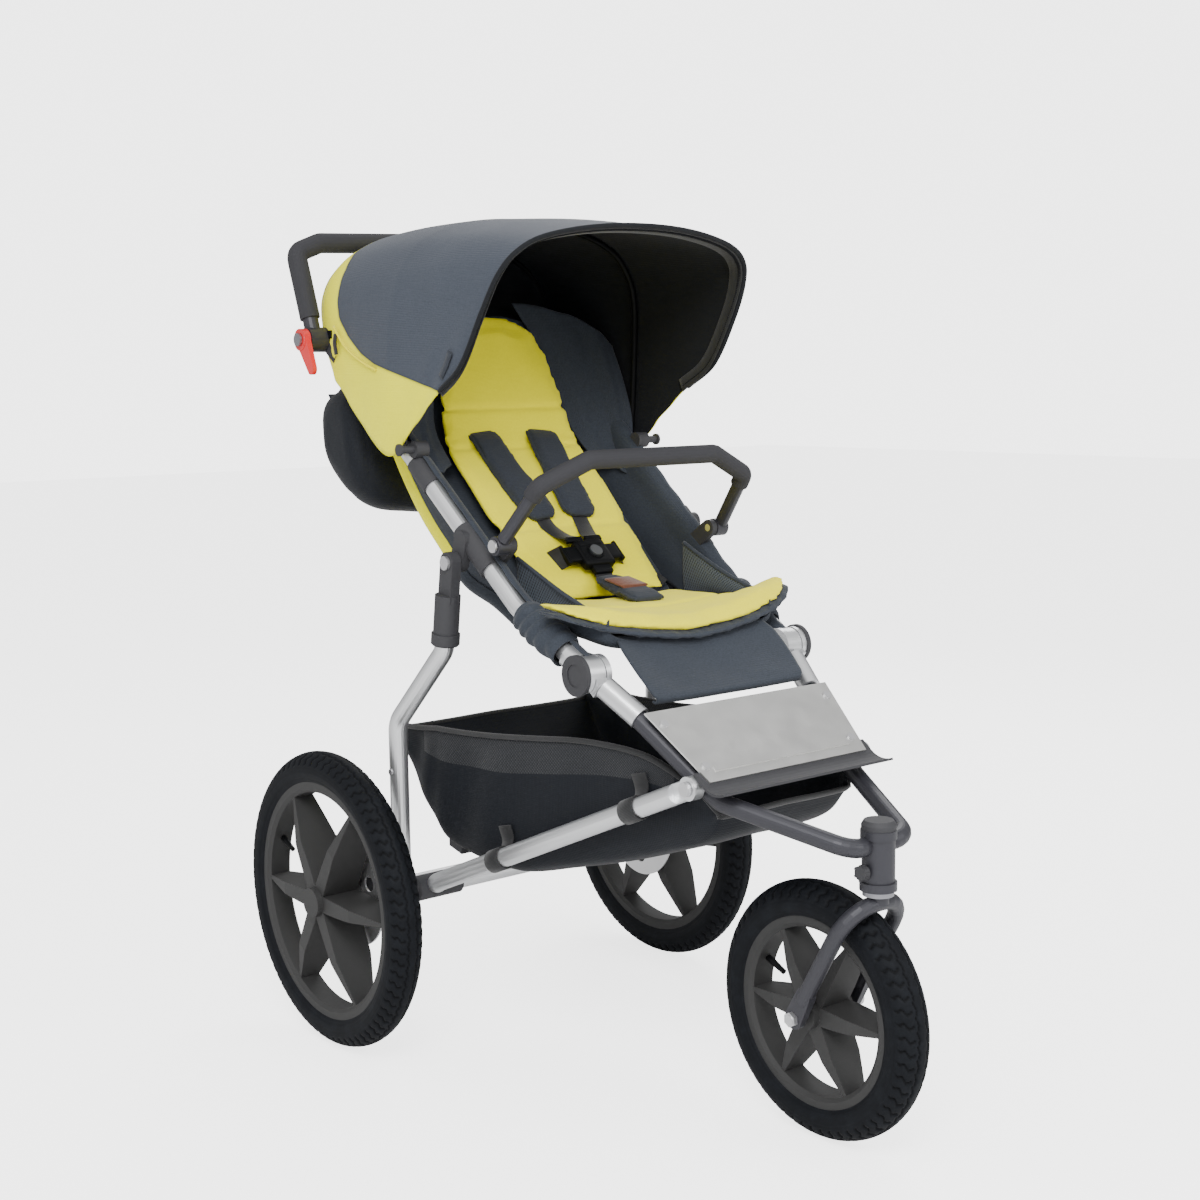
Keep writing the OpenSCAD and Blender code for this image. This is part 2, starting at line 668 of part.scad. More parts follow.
module crotch_pad() color("#3a3f4a") slab([[-318, seat_z + 19], [-240, seat_z + 32], [-240, seat_z + 42],
  [-318, seat_z + 29]], -28, 28);
buckle_at = at(0, -206, 658);
module buckle_place() translate(buckle_at) rotate([42, 0, 0]) children();
module harness_buckle() {
  color("#141518") buckle_place() difference() {
    translate([-26, -22, 0]) cube([52, 46, 17]);
    translate([0, 0, 12]) cylinder(h = 10, r = 9 + 0.3);
  }
}
module buckle_button() color("#2a2c30") buckle_place() translate([0, 0, 14.3]) cylinder(h = 4, r = 9);

// the backrest, its liner and what hangs on it turn about the seat bight
back_front = [[-236, 616], [-29, 803], [-10, 856], [12, 950], [15, 992]];
function shift(p, d) = [for (q = p) [q.x + d, q.y - d * 0.75]];
function reverse(p) = [for (i = [len(p) - 1:-1:0]) p[i]];
module back_pad() color("#d8e04a")
  slab(concat(back_front, reverse(shift(back_front, liner_t * 0.9))), -liner_w, liner_w);
module seat_back() color("#4d5665")
  slab(concat(shift(back_front, liner_t * 0.9 + 1), reverse(shift(back_front, liner_t * 0.9 + 13))),
    -seat_w + 4, seat_w - 4);
module shoulder_pads() {
  color("#3a3f4a") pair() translate(at(0, -29, 803)) rotate([42, 0, 0])
    rotate([0, 0, -6]) translate([26, -166, 2]) cube([38, 150, 14]);
}
// the parent bag is a pouch, open on top
bag_side = [[58, 724], [118, 716], [184, 776], [199, 862], [150, 902], [118, 894], [78, 815]];
bag_wall = 4;
module parent_bag() {
  color("#1c2026") difference() {
    slab(bag_side, -195, 195);
    translate(at(0, 0, 0)) rotate([90, 0, 90]) linear_extrude(2 * (195 - bag_wall), center = true)
      offset(delta = -bag_wall) polygon(bag_side);
    slab([[112, 870], [180, 870], [180, 910], [126, 910]], bag_wall - 195, 195 - bag_wall);
  }
}

// ---- canopy: three nested panels of revolution about the canopy pivots
nest = canopy_t + 3;
// the rear panels stand lower than the front one
crown_drop = 20;
module canopy_turn(a0, a1) {
  translate(at(0, canopy_pivot.x, canopy_pivot.y)) rotate([a0, 0, 0]) rotate([0, 90, 0])
    rotate([0, 0, 90]) rotate_extrude(angle = a1 - a0, $fn = 96) children();
}
module canopy_outline(step, thick, low, corner, drop = 0) {
  r = canopy_r - step - drop;
  w = canopy_w - step;
  n = 6;
  outer = [for (i = [0:n]) let (a = 90 * i / n) [r - corner + corner * cos(a), w - corner + corner * sin(a)]];
  inner = [for (i = [n:-1:0]) let (a = 90 * i / n)
    [r - corner + (corner - thick) * cos(a), w - corner + (corner - thick) * sin(a)]];
  polygon(concat([[r, -w + corner]], outer, [[low, w]], [[low, w - thick]], inner,
    [for (i = [0:n]) let (a = -90 * i / n)
      [r - corner + (corner - thick) * cos(a), corner - w + (corner - thick) * sin(a)]],
    [[low, thick - w]], [[low, -w]],
    [for (i = [n:-1:1]) let (a = -90 * i / n) [r - corner + corner * cos(a), corner - w + corner * sin(a)]]));
}
corner_r = 110;
// the strip of bow that joins a panel's low edge to its eye on the pivot
leg_inset = 0.5;
module canopy_leg(step, angle, high) {
  w = canopy_w - step - canopy_t + leg_inset;
  pair() canopy_turn(angle, angle + 4) translate([10, w]) square([high - 10, canopy_t - 2 * leg_inset]);
}
module canopy_eye(step) {
  pair() across(canopy_pivot, 14, canopy_w - step - canopy_t, canopy_w - step);
}
module canopy_bore() across(canopy_pivot, bolt_r + running, -canopy_w - 5, canopy_w + 5);
module canopy_front() {
  color("#4d5665") difference() {
    union() {
      canopy_turn(116, canopy_front_angle) canopy_outline(0, canopy_t, 118, corner_r);
      canopy_leg(0, canopy_front_angle - 6, 124);
      canopy_eye(0);
    }
    canopy_bore();
  }
}
module canopy_bow() color("#15171a")
  canopy_turn(canopy_front_angle, canopy_front_angle + 1.6) canopy_outline(-1, canopy_t + 3, 118, corner_r);
module canopy_mid() {
  color("#4d5665") difference() {
    union() {
      canopy_turn(80, 119) canopy_outline(nest, canopy_t, 110, corner_r, crown_drop);
      canopy_leg(nest, 92, 116);
      canopy_eye(nest);
    }
    canopy_bore();
  }
}
module canopy_rear() {
  color("#d8e04a") difference() {
    union() {
      canopy_turn(42, 84) canopy_outline(2 * nest, canopy_t, 100, corner_r, crown_drop);
      canopy_leg(2 * nest, 60, 106);
      canopy_eye(2 * nest);
    }
    canopy_bore();
  }
}
module canopy_pivots() {
  color("#1f2226") pair() {
    difference() {
      union() {
        across(canopy_pivot, bolt_r, 184, canopy_w + 2);
        across(canopy_pivot, bolt_r + 3, canopy_w + side_gap, canopy_w + 4);
        rod(side_point(-112), side_point(-76), tube_r + 2);
        across(canopy_pivot, 11, 180, canopy_w - 2 * nest - canopy_t - side_gap);
      }
      side_bore();
    }
  }
}

lower_rails();
rear_axle();
axle_brackets();
brake_calipers();
basket();
rear_legs();
leg_sleeves();
leg_bolts();
rear_wheel_left();
rear_tyre_left();
brake_disc_left();
rear_wheel_right();
rear_tyre_right();
brake_disc_right();
brake_pedal();
front_frame_tube();
hub_sleeves();
head_cap();
footplate();
footplate_bolts();
foot_lip();
rail_pivot_bolts();
steering_lock_knob();
fork();
fork_bearing();
front_axle();
quick_release_lever();
front_wheel();
front_tyre();
side_tubes();
hub_castings();
hub_pins();
hub_caps();
frame_brackets();
handle_hubs();
handle_bolts();
handlebar_tube();
handlebar_grip();
release_lever_left();
release_lever_right();
grab_bar_tube();
grab_bar_foam();
grab_bar_pins();
seat_base();
side_panels();
seat_pad();
leg_panel();
crotch_pad();
harness_buckle();
buckle_button();
seat_back();
back_pad();
shoulder_pads();
parent_bag();
canopy_pivots();
canopy_rear();
canopy_mid();
canopy_front();
canopy_bow();
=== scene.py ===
# %% [markdown]
# # A three-wheel jogging stroller, dressed
# The frame, wheels and hinges are already made as exact solids. This lesson adds what those
# solids can't show: cloth, foam, webbing, tread and the finish of every surface. Each piece is
# built in metres around the imported frame; most are tied to the body that carries them, and the
# rest are fixed in place.

# %% Load the frame
import bmesh
import bpy
import json
import math
import random
from mathutils import Matrix, Vector


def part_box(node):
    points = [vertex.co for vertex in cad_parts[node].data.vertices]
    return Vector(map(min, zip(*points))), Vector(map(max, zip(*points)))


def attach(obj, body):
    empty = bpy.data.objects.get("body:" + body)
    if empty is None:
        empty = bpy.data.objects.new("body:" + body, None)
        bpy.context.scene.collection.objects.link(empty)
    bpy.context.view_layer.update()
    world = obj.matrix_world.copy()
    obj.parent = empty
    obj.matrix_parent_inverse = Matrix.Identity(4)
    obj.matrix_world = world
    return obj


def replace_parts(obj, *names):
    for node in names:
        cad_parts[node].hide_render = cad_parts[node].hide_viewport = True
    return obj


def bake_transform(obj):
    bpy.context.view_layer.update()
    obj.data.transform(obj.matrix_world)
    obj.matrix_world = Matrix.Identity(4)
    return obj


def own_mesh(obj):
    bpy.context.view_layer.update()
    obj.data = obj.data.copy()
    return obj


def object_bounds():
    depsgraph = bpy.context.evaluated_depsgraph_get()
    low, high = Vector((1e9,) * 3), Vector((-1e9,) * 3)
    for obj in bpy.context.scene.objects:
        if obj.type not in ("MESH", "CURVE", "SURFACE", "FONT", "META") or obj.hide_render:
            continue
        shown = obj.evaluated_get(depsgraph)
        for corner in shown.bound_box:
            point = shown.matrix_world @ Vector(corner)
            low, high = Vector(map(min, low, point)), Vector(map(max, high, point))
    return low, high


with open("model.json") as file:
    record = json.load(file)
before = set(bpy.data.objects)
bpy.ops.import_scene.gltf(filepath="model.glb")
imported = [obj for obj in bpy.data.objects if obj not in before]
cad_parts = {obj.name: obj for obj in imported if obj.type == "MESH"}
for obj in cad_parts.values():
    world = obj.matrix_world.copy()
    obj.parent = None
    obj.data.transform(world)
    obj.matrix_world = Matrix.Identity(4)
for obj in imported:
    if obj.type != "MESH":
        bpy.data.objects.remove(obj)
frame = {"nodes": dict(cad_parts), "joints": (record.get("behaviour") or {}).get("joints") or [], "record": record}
cad_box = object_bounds()
print("frame box", [round(v, 3) for corner in cad_box for v in corner])

# %% [markdown]
# ## Where things are
# The stroller is measured back from the rear axle and up from the floor, because that is how a
# frame builder sets it out. `P` turns such a point, in millimetres, into the shared frame. The
# axle's place comes from the wheel's own joint.

# %% Points on the stroller
joints = {j["name"]: j for j in frame["joints"]}
axle_y = joints["rear_wheel_left_spin"]["pos_m"][1]
LEFT, RIGHT = -1, 1
SIDES = {"left": LEFT, "right": RIGHT}


def P(x, y, z):
    return Vector((x / 1000, axle_y + y / 1000, z / 1000))


def joint_at(name):
    return Vector(joints[name]["pos_m"])


def tube_at(y, side=RIGHT):
    """The middle of a side tube, y millimetres behind the axle."""
    low = y < -284
    x = 165 + 13 * (y + 407) / 123 if low else 178 + 17 * (y + 284) / 404
    z = 547 + 70 * (y + 407) / 123 if low else 617 + 0.827 * (y + 284)
    return P(side * x, y, z)


# Square to a side tube's upper run, up and forward.
OFF = Vector((0, -0.637, 0.771))
print("rear axle at y", round(axle_y, 4), "fold hub at", [round(v, 3) for v in joint_at("frame_fold")])

# %% [markdown]
# ## The camera
# A long lens looks from the front left corner, from a little above the seat. It is made first,
# so that every later piece can be looked at from where it will be seen.

# %% Camera
CAMERA_PLACE = (-1.4286, -1.70595, 0.9011)
CAMERA_AXES = ((0.778122, -0.627982, -0.012835),
               (0.091063, 0.092569, 0.991534),
               (-0.621477, -0.772702, 0.129215))
LENS_MM, SENSOR_MM = 51.7, 36
cam_data = bpy.data.cameras.new("camera")
cam_data.lens, cam_data.sensor_width = LENS_MM, SENSOR_MM
camera = bpy.data.objects.new("camera", cam_data)
bpy.context.scene.collection.objects.link(camera)
camera.matrix_world = Matrix.Translation(CAMERA_PLACE) @ Matrix(CAMERA_AXES).transposed().to_4x4()
bpy.context.scene.camera = camera
print("camera at", [round(v, 2) for v in camera.location])

# %% [markdown]
# ## Small tools for mesh
# Cloth is easiest to draft as ribs: a few curves, each through a handful of points, with a
# smooth skin between them. `curve` runs a smooth line through its points, and `even` spaces
# them evenly along it.

# %% Curves
def curve(points, count):
    """count points along a smooth line through the given ones."""
    points = [Vector(p) for p in points]
    if len(points) == 2:
        return [points[0].lerp(points[1], i / (count - 1)) for i in range(count)]
    ends = [2 * points[0] - points[1], *points, 2 * points[-1] - points[-2]]
    out = []
    for i in range(count):
        t = i / (count - 1) * (len(points) - 1)
        k = min(int(t), len(points) - 2)
        a, b, c, d = ends[k:k + 4]
        t -= k
        out.append(0.5 * (2 * b + (c - a) * t + (2 * a - 5 * b + 4 * c - d) * t * t
                          + (3 * b - a - 3 * c + d) * t ** 3))
    return out


def even(points, count):
    """The same line with its points an even distance apart."""
    length = [0]
    for a, b in zip(points, points[1:]):
        length.append(length[-1] + (b - a).length)
    out, k = [], 0
    for i in range(count):
        want = length[-1] * i / (count - 1)
        while k < len(points) - 2 and length[k + 1] < want:
            k += 1
        step = max(length[k + 1] - length[k], 1e-9)
        out.append(points[k].lerp(points[k + 1], (want - length[k]) / step))
    return out


print("spaced evenly:", [round(p.x, 2) for p in even([Vector((x, 0, 0)) for x in (0, 1, 3)], 4)])

# %% [markdown]
# ## Sheets
# `skin` turns rows of points into a sheet whose UV map is in metres, so a weave keeps its true
# size. `loft` puts a smooth sheet through a few ribs.

# %% Sheets
def new_piece(name, verts, faces, materials=(), smooth=True):
    mesh = bpy.data.meshes.new(name)
    mesh.from_pydata([tuple(v) for v in verts], [], faces)
    mesh.validate()
    piece = bpy.data.objects.new(name, mesh)
    bpy.context.scene.collection.objects.link(piece)
    for material in materials:
        mesh.materials.append(material)
    if smooth:
        mesh.shade_smooth()
    return piece


def skin(name, rows, materials=(), ring=False):
    """A sheet through rows of points. ring closes each row on itself."""
    n, m = len(rows), len(rows[0])
    verts = [p for row in rows for p in row]
    faces = []
    for i in range(n - 1):
        for j in range(m if ring else m - 1):
            k = (j + 1) % m
            faces.append((i * m + j, i * m + k, (i + 1) * m + k, (i + 1) * m + j))
    piece = new_piece(name, verts, faces, materials)
    u, v = [0.0], [0.0]
    for j in range(m):
        u.append(u[-1] + (rows[n // 2][(j + 1) % m] - rows[n // 2][j]).length)
    for i in range(1, n):
        v.append(v[-1] + (rows[i][m // 2] - rows[i - 1][m // 2]).length)
    uv = piece.data.uv_layers.new(name="cloth")
    for f in range(len(faces)):
        i, j = divmod(f, m if ring else m - 1)
        for c, (a, b) in enumerate(((i, j), (i, j + 1), (i + 1, j + 1), (i + 1, j))):
            uv.data[f * 4 + c].uv = (u[b], v[a])
    return piece


def loft(name, ribs, across, along, materials=()):
    """A smooth sheet through ribs, each a list with the same number of points."""
    fine = [curve(rib, across) for rib in ribs]
    columns = [curve([rib[j] for rib in fine], along) for j in range(across)]
    return skin(name, [[columns[j][i] for j in range(across)] for i in range(along)], materials)


print("sheet tools ready")

# %% [markdown]
# ## Tubes and straps
# A tube is a ring of points carried along a line. The ring is kept from twisting by taking each
# ring's side from the one before. A strap is the same with a flat, slightly rounded ring, which
# is what woven webbing looks like in section.

# %% Tubes and straps
def frames(points):
    """The line's direction and two sides at each point, carried along without twist."""
    side, out = None, []
    for i, p in enumerate(points):
        way = (points[min(i + 1, len(points) - 1)] - points[max(i - 1, 0)]).normalized()
        if side is None:
            side = way.orthogonal().normalized()
        side = (side - way * side.dot(way)).normalized()
        out.append((p, side, way.cross(side)))
    return out


def tube(name, points, radius, materials=(), sides=12, flat=1.0, ends=True):
    """A round or flattened tube. radius is a number or a rule of 0..1 along it."""
    rows = []
    for i, (p, a, b) in enumerate(frames(points)):
        r = radius(i / (len(points) - 1)) if callable(radius) else radius
        rows.append([p + r * (math.cos(t) * a + flat * math.sin(t) * b)
                     for t in (2 * math.pi * k / sides for k in range(sides))])
    piece = skin(name, rows, materials, ring=True)
    if ends:
        cap(piece, sides, len(rows))
    return piece


def cap(piece, sides, count):
    mesh = bmesh.new()
    mesh.from_mesh(piece.data)
    mesh.verts.ensure_lookup_table()
    mesh.faces.new([mesh.verts[k] for k in reversed(range(sides))])
    mesh.faces.new([mesh.verts[(count - 1) * sides + k] for k in range(sides)])
    bmesh.ops.recalc_face_normals(mesh, faces=mesh.faces)
    mesh.to_mesh(piece.data)
    mesh.free()


def strap(name, points, across, width, thick, materials=()):
    """Flat webbing along points. across(i) is the direction of its width there."""
    rows = []
    for i, p in enumerate(points):
        way = (points[min(i + 1, len(points) - 1)] - points[max(i - 1, 0)]).normalized()
        side = across(i / (len(points) - 1)) if callable(across) else across
        side = (side - way * side.dot(way)).normalized()
        up_way = way.cross(side)
        w, t, e = width / 2, thick / 2, thick * 0.35
        rim = [(-w, -t + e), (-w + e, -t), (w - e, -t), (w, -t + e),
               (w, t - e), (w - e, t), (-w + e, t), (-w, t - e)]
        rows.append([p + side * a + up_way * b for a, b in rim])
    piece = skin(name, rows, materials, ring=True)
    cap(piece, 8, len(rows))
    return piece


print("tube and strap tools ready")

# %% [markdown]
# ## Finishing a mesh
# Modifiers are made real as soon as they have done their work, so that the finished mesh can be
# creased and coloured by face.

# %% Finishing a mesh
def settle(piece):
    """Makes the piece's modifiers real."""
    seen = piece.evaluated_get(bpy.context.evaluated_depsgraph_get())
    mesh = bpy.data.meshes.new_from_object(seen)
    piece.modifiers.clear()
    piece.data = mesh
    return piece


def thicken(piece, thick, inside=None, offset=-1):
    """Gives a sheet the thickness of its cloth, with its lining on the inside."""
    add = piece.modifiers.new("cloth", "SOLIDIFY")
    add.thickness, add.offset = thick, offset
    if inside is not None:
        piece.data.materials.append(inside)
        add.material_offset = len(piece.data.materials) - 1
    return settle(piece)


def join(name, parts):
    """Several meshes as one piece."""
    mesh = bmesh.new()
    materials = []
    for part in parts:
        shift = []
        for material in part.data.materials:
            if material not in materials:
                materials.append(material)
            shift.append(materials.index(material))
        start = len(mesh.faces)
        mesh.from_mesh(part.data)
        mesh.faces.ensure_lookup_table()
        for face in mesh.faces[start:]:
            face.material_index = shift[face.material_index] if shift else 0
    data = bpy.data.meshes.new(name)
    mesh.to_mesh(data)
    mesh.free()
    for material in materials:
        data.materials.append(material)
    for part in parts:
        bpy.data.objects.remove(part)
    piece = bpy.data.objects.new(name, data)
    bpy.context.scene.collection.objects.link(piece)
    return piece


print("finishing tools ready")

# %% [markdown]
# ## Moulded blocks and cut sizes
# Buckles, snaps and labels start as rounded blocks. A cloth's cut is measured on its ribs, before
# its folds are put in, because that is the size the cloth is cut to.

# %% Moulded blocks and cut sizes
def moulded(name, size, place, turn=(0, 0, 0), round_by=0.25, materials=()):
    """A rounded block as it leaves a mould. round_by is a share of its shortest side."""
    mesh = bmesh.new()
    bmesh.ops.create_cube(mesh, size=1)
    bmesh.ops.scale(mesh, vec=Vector(size), verts=mesh.verts)
    bmesh.ops.bevel(mesh, geom=mesh.edges[:], offset=min(size) * round_by, segments=3, profile=0.7,
                    affect="EDGES")
    data = bpy.data.meshes.new(name)
    mesh.to_mesh(data)
    mesh.free()
    piece = bpy.data.objects.new(name, data)
    bpy.context.scene.collection.objects.link(piece)
    for material in materials:
        data.materials.append(material)
    data.shade_smooth()
    turned = Matrix.Translation(place) @ Matrix.Rotation(turn[2], 4, "Z") @ Matrix.Rotation(turn[1], 4, "Y") \
        @ Matrix.Rotation(turn[0], 4, "X")
    data.transform(turned)
    return piece


def smooth_step(t):
    t = max(0.0, min(1.0, t))
    return t * t * (3 - 2 * t)


def cut_area(ribs):
    """The flat cut's area in square metres: the strips between its ribs, before any fold or sag."""
    fine = [even(curve(rib, 60), 24) for rib in ribs]
    long = [sum((b - a).length for a, b in zip(rib, rib[1:])) for rib in fine]
    total = 0
    for a, b, la, lb in zip(fine, fine[1:], long, long[1:]):
        total += (la + lb) / 2 * sum((p - q).length for p, q in zip(a, b)) / len(a)
    return round(total, 3)


print("mesh tools ready")

# %% [markdown]
# ## Colour
# Colours are written as sRGB hex values, the way a paint or fabric card gives them, and one
# function turns them to linear light.

# %% Colour
def linear(hex_code):
    parts = [int(hex_code[i:i + 2], 16) / 255 for i in (1, 3, 5)]
    return (*[c / 12.92 if c <= 0.04045 else ((c + 0.055) / 1.055) ** 2.4 for c in parts], 1)


print("white paper is", linear("#ffffff"), "mid grey", [round(c, 3) for c in linear("#808080")])

# %% [markdown]
# ## Nodes
# Every finish is built from the same few steps: noise at a size in millimetres, a ramp of
# colours, a mix of two colours, and a bump whose depth is in millimetres too. One small function
# adds any node with its settings and links.

# %% Node helpers

def add(tree, kind, inputs=(), **settings):
    """A node of that kind. inputs maps a socket to a value or to another node's output."""
    made = tree.nodes.new("ShaderNode" + kind)
    for key, value in settings.items():
        setattr(made, key, value)
    for key, value in dict(inputs).items():
        if isinstance(value, bpy.types.NodeSocket):
            tree.links.new(value, made.inputs[key])
        else:
            made.inputs[key].default_value = value
    return made


def start(name, by="Object", **fixed):
    """A material with its shader, its tree and the place on the object, or by its UV map."""
    material = bpy.data.materials.new(name)
    material.use_nodes = True
    tree = material.node_tree
    shader = tree.nodes["Principled BSDF"]
    for key, value in fixed.items():
        shader.inputs[key.replace("_", " ")].default_value = value
    place = add(tree, "TexCoord").outputs[by]
    return material, tree, shader, place


def ramp(tree, fac, stops):
    """Colour along fac. stops are (place, hex)."""
    made = add(tree, "ValToRGB", {"Fac": fac})
    bar = made.color_ramp.elements
    while len(bar) < len(stops):
        bar.new(0.5)
    for element, (at, code) in zip(bar, stops):
        element.position, element.color = at, linear(code)
    return made.outputs["Color"]


def blend_colour(tree, fac, a, b, mode="MIX"):
    made = add(tree, "Mix", {0: fac}, data_type="RGBA", blend_type=mode)
    for socket, value in ((6, a), (7, b)):
        if isinstance(value, bpy.types.NodeSocket):
            tree.links.new(value, made.inputs[socket])
        else:
            made.inputs[socket].default_value = value
    return made.outputs[2]


def wave_scale(period_mm):
    """Blender's wave texture repeats every 2 pi / 20 of its scale, in metres here."""
    return 2 * math.pi / 20 / (period_mm / 1000)


def noise(tree, place, size_mm, detail=3, rough=0.55):
    return add(tree, "TexNoise", {"Vector": place, "Scale": 1000 / size_mm, "Detail": detail,
                                  "Roughness": rough}).outputs["Fac"]


def bump(tree, height, depth_mm, strength=1.0, under=None):
    made = add(tree, "Bump", {"Height": height, "Distance": depth_mm / 1000, "Strength": strength})
    if under is not None:
        tree.links.new(under, made.inputs["Normal"])
    return made.outputs["Normal"]


def maths(tree, operation, a, b=0.0):
    return add(tree, "Math", {0: a, 1: b}, operation=operation).outputs[0]


print("waves 2.2 mm apart have scale", round(wave_scale(2.2), 1))

# %% [markdown]
# ## Woven polyester
# The canopy, seat hull and side panels are 600 denier polyester: a plain weave of dull threads,
# coated on the back. Real threads lie 0.5 mm apart and are too fine to see here, so the weave is
# drawn at 2.2 mm. Three crossed waves give the over and under of the threads on a surface that
# faces any way. A melange of two close tones and long soft creases do the rest, and a little
# sheen gives the pale edge that cloth shows where it turns away.

# %% Woven cloth
def woven(name, light, dark, thread_mm=2.2, roughness=0.78, sheen=0.25, crease_mm=0.9, second=None):
    """second is the pair of hex colours that the cloth has past its seam."""
    material, tree, shader, place = start(name, Roughness=roughness, Sheen_Weight=sheen, Sheen_Roughness=0.45,
                                          IOR=1.5, Specular_IOR_Level=0.22)
    mottle = add(tree, "MapRange", {"Value": noise(tree, place, 2.6, 4, 0.7), "From Min": 0.3,
                                    "From Max": 0.7})
    cloth = blend_colour(tree, mottle.outputs[0], linear(dark), linear(light))
    if second:
        other = blend_colour(tree, mottle.outputs[0], linear(second[1]), linear(second[0]))
        seam = add(tree, "Attribute", attribute_name="seam").outputs["Fac"]
        past = add(tree, "MapRange", {"Value": seam, "From Min": -0.0003, "From Max": 0.0003})
        cloth = blend_colour(tree, past.outputs[0], cloth, other)
        stitch = add(tree, "MapRange", {"Value": maths(tree, "ABSOLUTE", seam), "From Min": 0.0005,
                                        "From Max": 0.0022, "To Min": 0.62, "To Max": 1.0})
        cloth = blend_colour(tree, 1.0, cloth, stitch.outputs[0], "MULTIPLY")
    large = add(tree, "MapRange", {"Value": noise(tree, place, 160, 2), "To Min": 0.88, "To Max": 1.1})
    cloth = blend_colour(tree, 1.0, cloth, large.outputs[0], "MULTIPLY")
    tree.links.new(cloth, shader.inputs["Base Color"])
    threads = None
    for way in "XYZ":
        wave = add(tree, "TexWave", {"Vector": place, "Scale": wave_scale(thread_mm), "Distortion": 0.6,
                                     "Detail": 1.0}, bands_direction=way).outputs["Fac"]
        threads = wave if threads is None else maths(tree, "ADD", threads, wave)
    fine = bump(tree, threads, 0.16, 0.6)
    creases = bump(tree, noise(tree, place, 55, 3, 0.5), crease_mm, 1.0, fine)
    normal = creases
    if second:
        ridge = add(tree, "MapRange", {"Value": maths(tree, "ABSOLUTE", seam), "From Min": 0.0,
                                       "From Max": 0.004, "To Min": 1.0, "To Max": 0.0},
                    interpolation_type="SMOOTHSTEP")
        normal = bump(tree, ridge.outputs[0], 1.2, 0.8, creases)
    tree.links.new(normal, shader.inputs["Normal"])
    return material


slate_cloth = woven("slate_polyester", "#373c45", "#2d3239", sheen=0.12, crease_mm=1.4)
canopy_cloth = woven("canopy_polyester", "#3e444f", "#343a44", sheen=0.15, crease_mm=0.8,
                     second=("#f8f400", "#eeea00"))
hull_cloth = woven("hull_polyester", "#343941", "#2b3037", sheen=0.12, second=("#f8f400", "#ece800"))
liner_cloth = woven("brushed_yellow_liner", "#faef00", "#f0e500", thread_mm=1.6, roughness=0.88, sheen=0.2,
                    crease_mm=1.2)
lining_cloth = woven("black_lining", "#1a1c20", "#121417", roughness=0.85, sheen=0.06)
navy_cloth = woven("navy_nylon_oxford", "#14181f", "#0e1117", thread_mm=2.6, roughness=0.66, sheen=0.06,
                   crease_mm=1.6)
pad_cloth = woven("dark_grey_padding_cover", "#33373f", "#2a2e35", thread_mm=1.8, roughness=0.85,
                  sheen=0.12)
print("cloths:", [m.name for m in bpy.data.materials if "poly" in m.name or "nylon" in m.name])

# %% [markdown]
# ## Webbing and mesh
# Harness straps are woven nylon webbing with cross ribs every 1.6 mm. The pockets are a knitted
# polyester mesh: diamond holes about 3 mm apart, dark where the eye falls through them. The
# holes are drawn as colour and depth: the dark cloth behind them, with painted shade inside the pocket.

# %% Webbing and mesh
def webbing(name, light, dark):
    material, tree, shader, uv = start(name, "UV", Roughness=0.6, Sheen_Weight=0.2, IOR=1.53,
                                       Specular_IOR_Level=0.4)
    ribs = add(tree, "TexWave", {"Vector": uv, "Scale": wave_scale(1.6)}, bands_direction="Y").outputs["Fac"]
    cloth = ramp(tree, ribs, [(0.1, dark), (0.9, light)])
    tree.links.new(cloth, shader.inputs["Base Color"])
    tree.links.new(bump(tree, ribs, 0.3, 0.7), shader.inputs["Normal"])
    return material


def knitted_mesh(name, thread, hole, pitch_mm=3.2):
    material, tree, shader, uv = start(name, "UV", Roughness=0.7, Sheen_Weight=0.15, IOR=1.5,
                                       Specular_IOR_Level=0.35)
    turned = add(tree, "Mapping", {"Vector": uv, "Rotation": (0, 0, math.radians(45))}).outputs[0]
    cells = add(tree, "TexVoronoi", {"Vector": turned, "Scale": 1000 / pitch_mm, "Randomness": 0.0},
                voronoi_dimensions="2D").outputs["Distance"]
    web = add(tree, "MapRange", {"Value": cells, "From Min": 0.26, "From Max": 0.38}).outputs[0]
    # The hole colour is the dark cloth behind the mesh, darkened further by painted shade inside the pocket.
    tree.links.new(ramp(tree, web, [(0.0, hole), (1.0, thread)]), shader.inputs["Base Color"])
    tree.links.new(bump(tree, web, 0.5, 0.8), shader.inputs["Normal"])
    return material


black_webbing = webbing("black_nylon_webbing", "#131417", "#08090a")
pocket_mesh = knitted_mesh("pocket_mesh", "#4c545e", "#14181c")
bag_mesh = knitted_mesh("black_bag_mesh", "#191c22", "#060709", pitch_mm=3.6)
print("webbing and mesh ready")

# %% [markdown]
# ## Metals
# The silver tubes are extruded aluminium, brushed and then anodised: a satin metal with faint
# lines, rougher where the brush pressed. The front tube and the fork are powder coated, which
# is a plastic film with a fine orange peel. Bolts and axles are zinc plated steel.

# %% Metals and coatings
def metal(name, hex_code, roughness, brush_mm=6, streak=0.08):
    material, tree, shader, place = start(name, Metallic=1.0, Roughness=roughness)
    stretched = add(tree, "Mapping", {"Vector": place, "Scale": (1.0, 0.12, 0.12)}).outputs[0]
    lines = noise(tree, stretched, brush_mm / 8, 4, 0.7)
    tone = add(tree, "MapRange", {"Value": lines, "To Min": 1 - streak, "To Max": 1 + streak}).outputs[0]
    tree.links.new(blend_colour(tree, 1.0, linear(hex_code), tone, "MULTIPLY"), shader.inputs["Base Color"])
    worn = add(tree, "MapRange", {"Value": noise(tree, place, 30, 4), "From Min": 0.3, "From Max": 0.7,
                                  "To Min": roughness - 0.05, "To Max": roughness + 0.09}).outputs[0]
    tree.links.new(worn, shader.inputs["Roughness"])
    tree.links.new(bump(tree, lines, 0.03, 0.35), shader.inputs["Normal"])
    return material


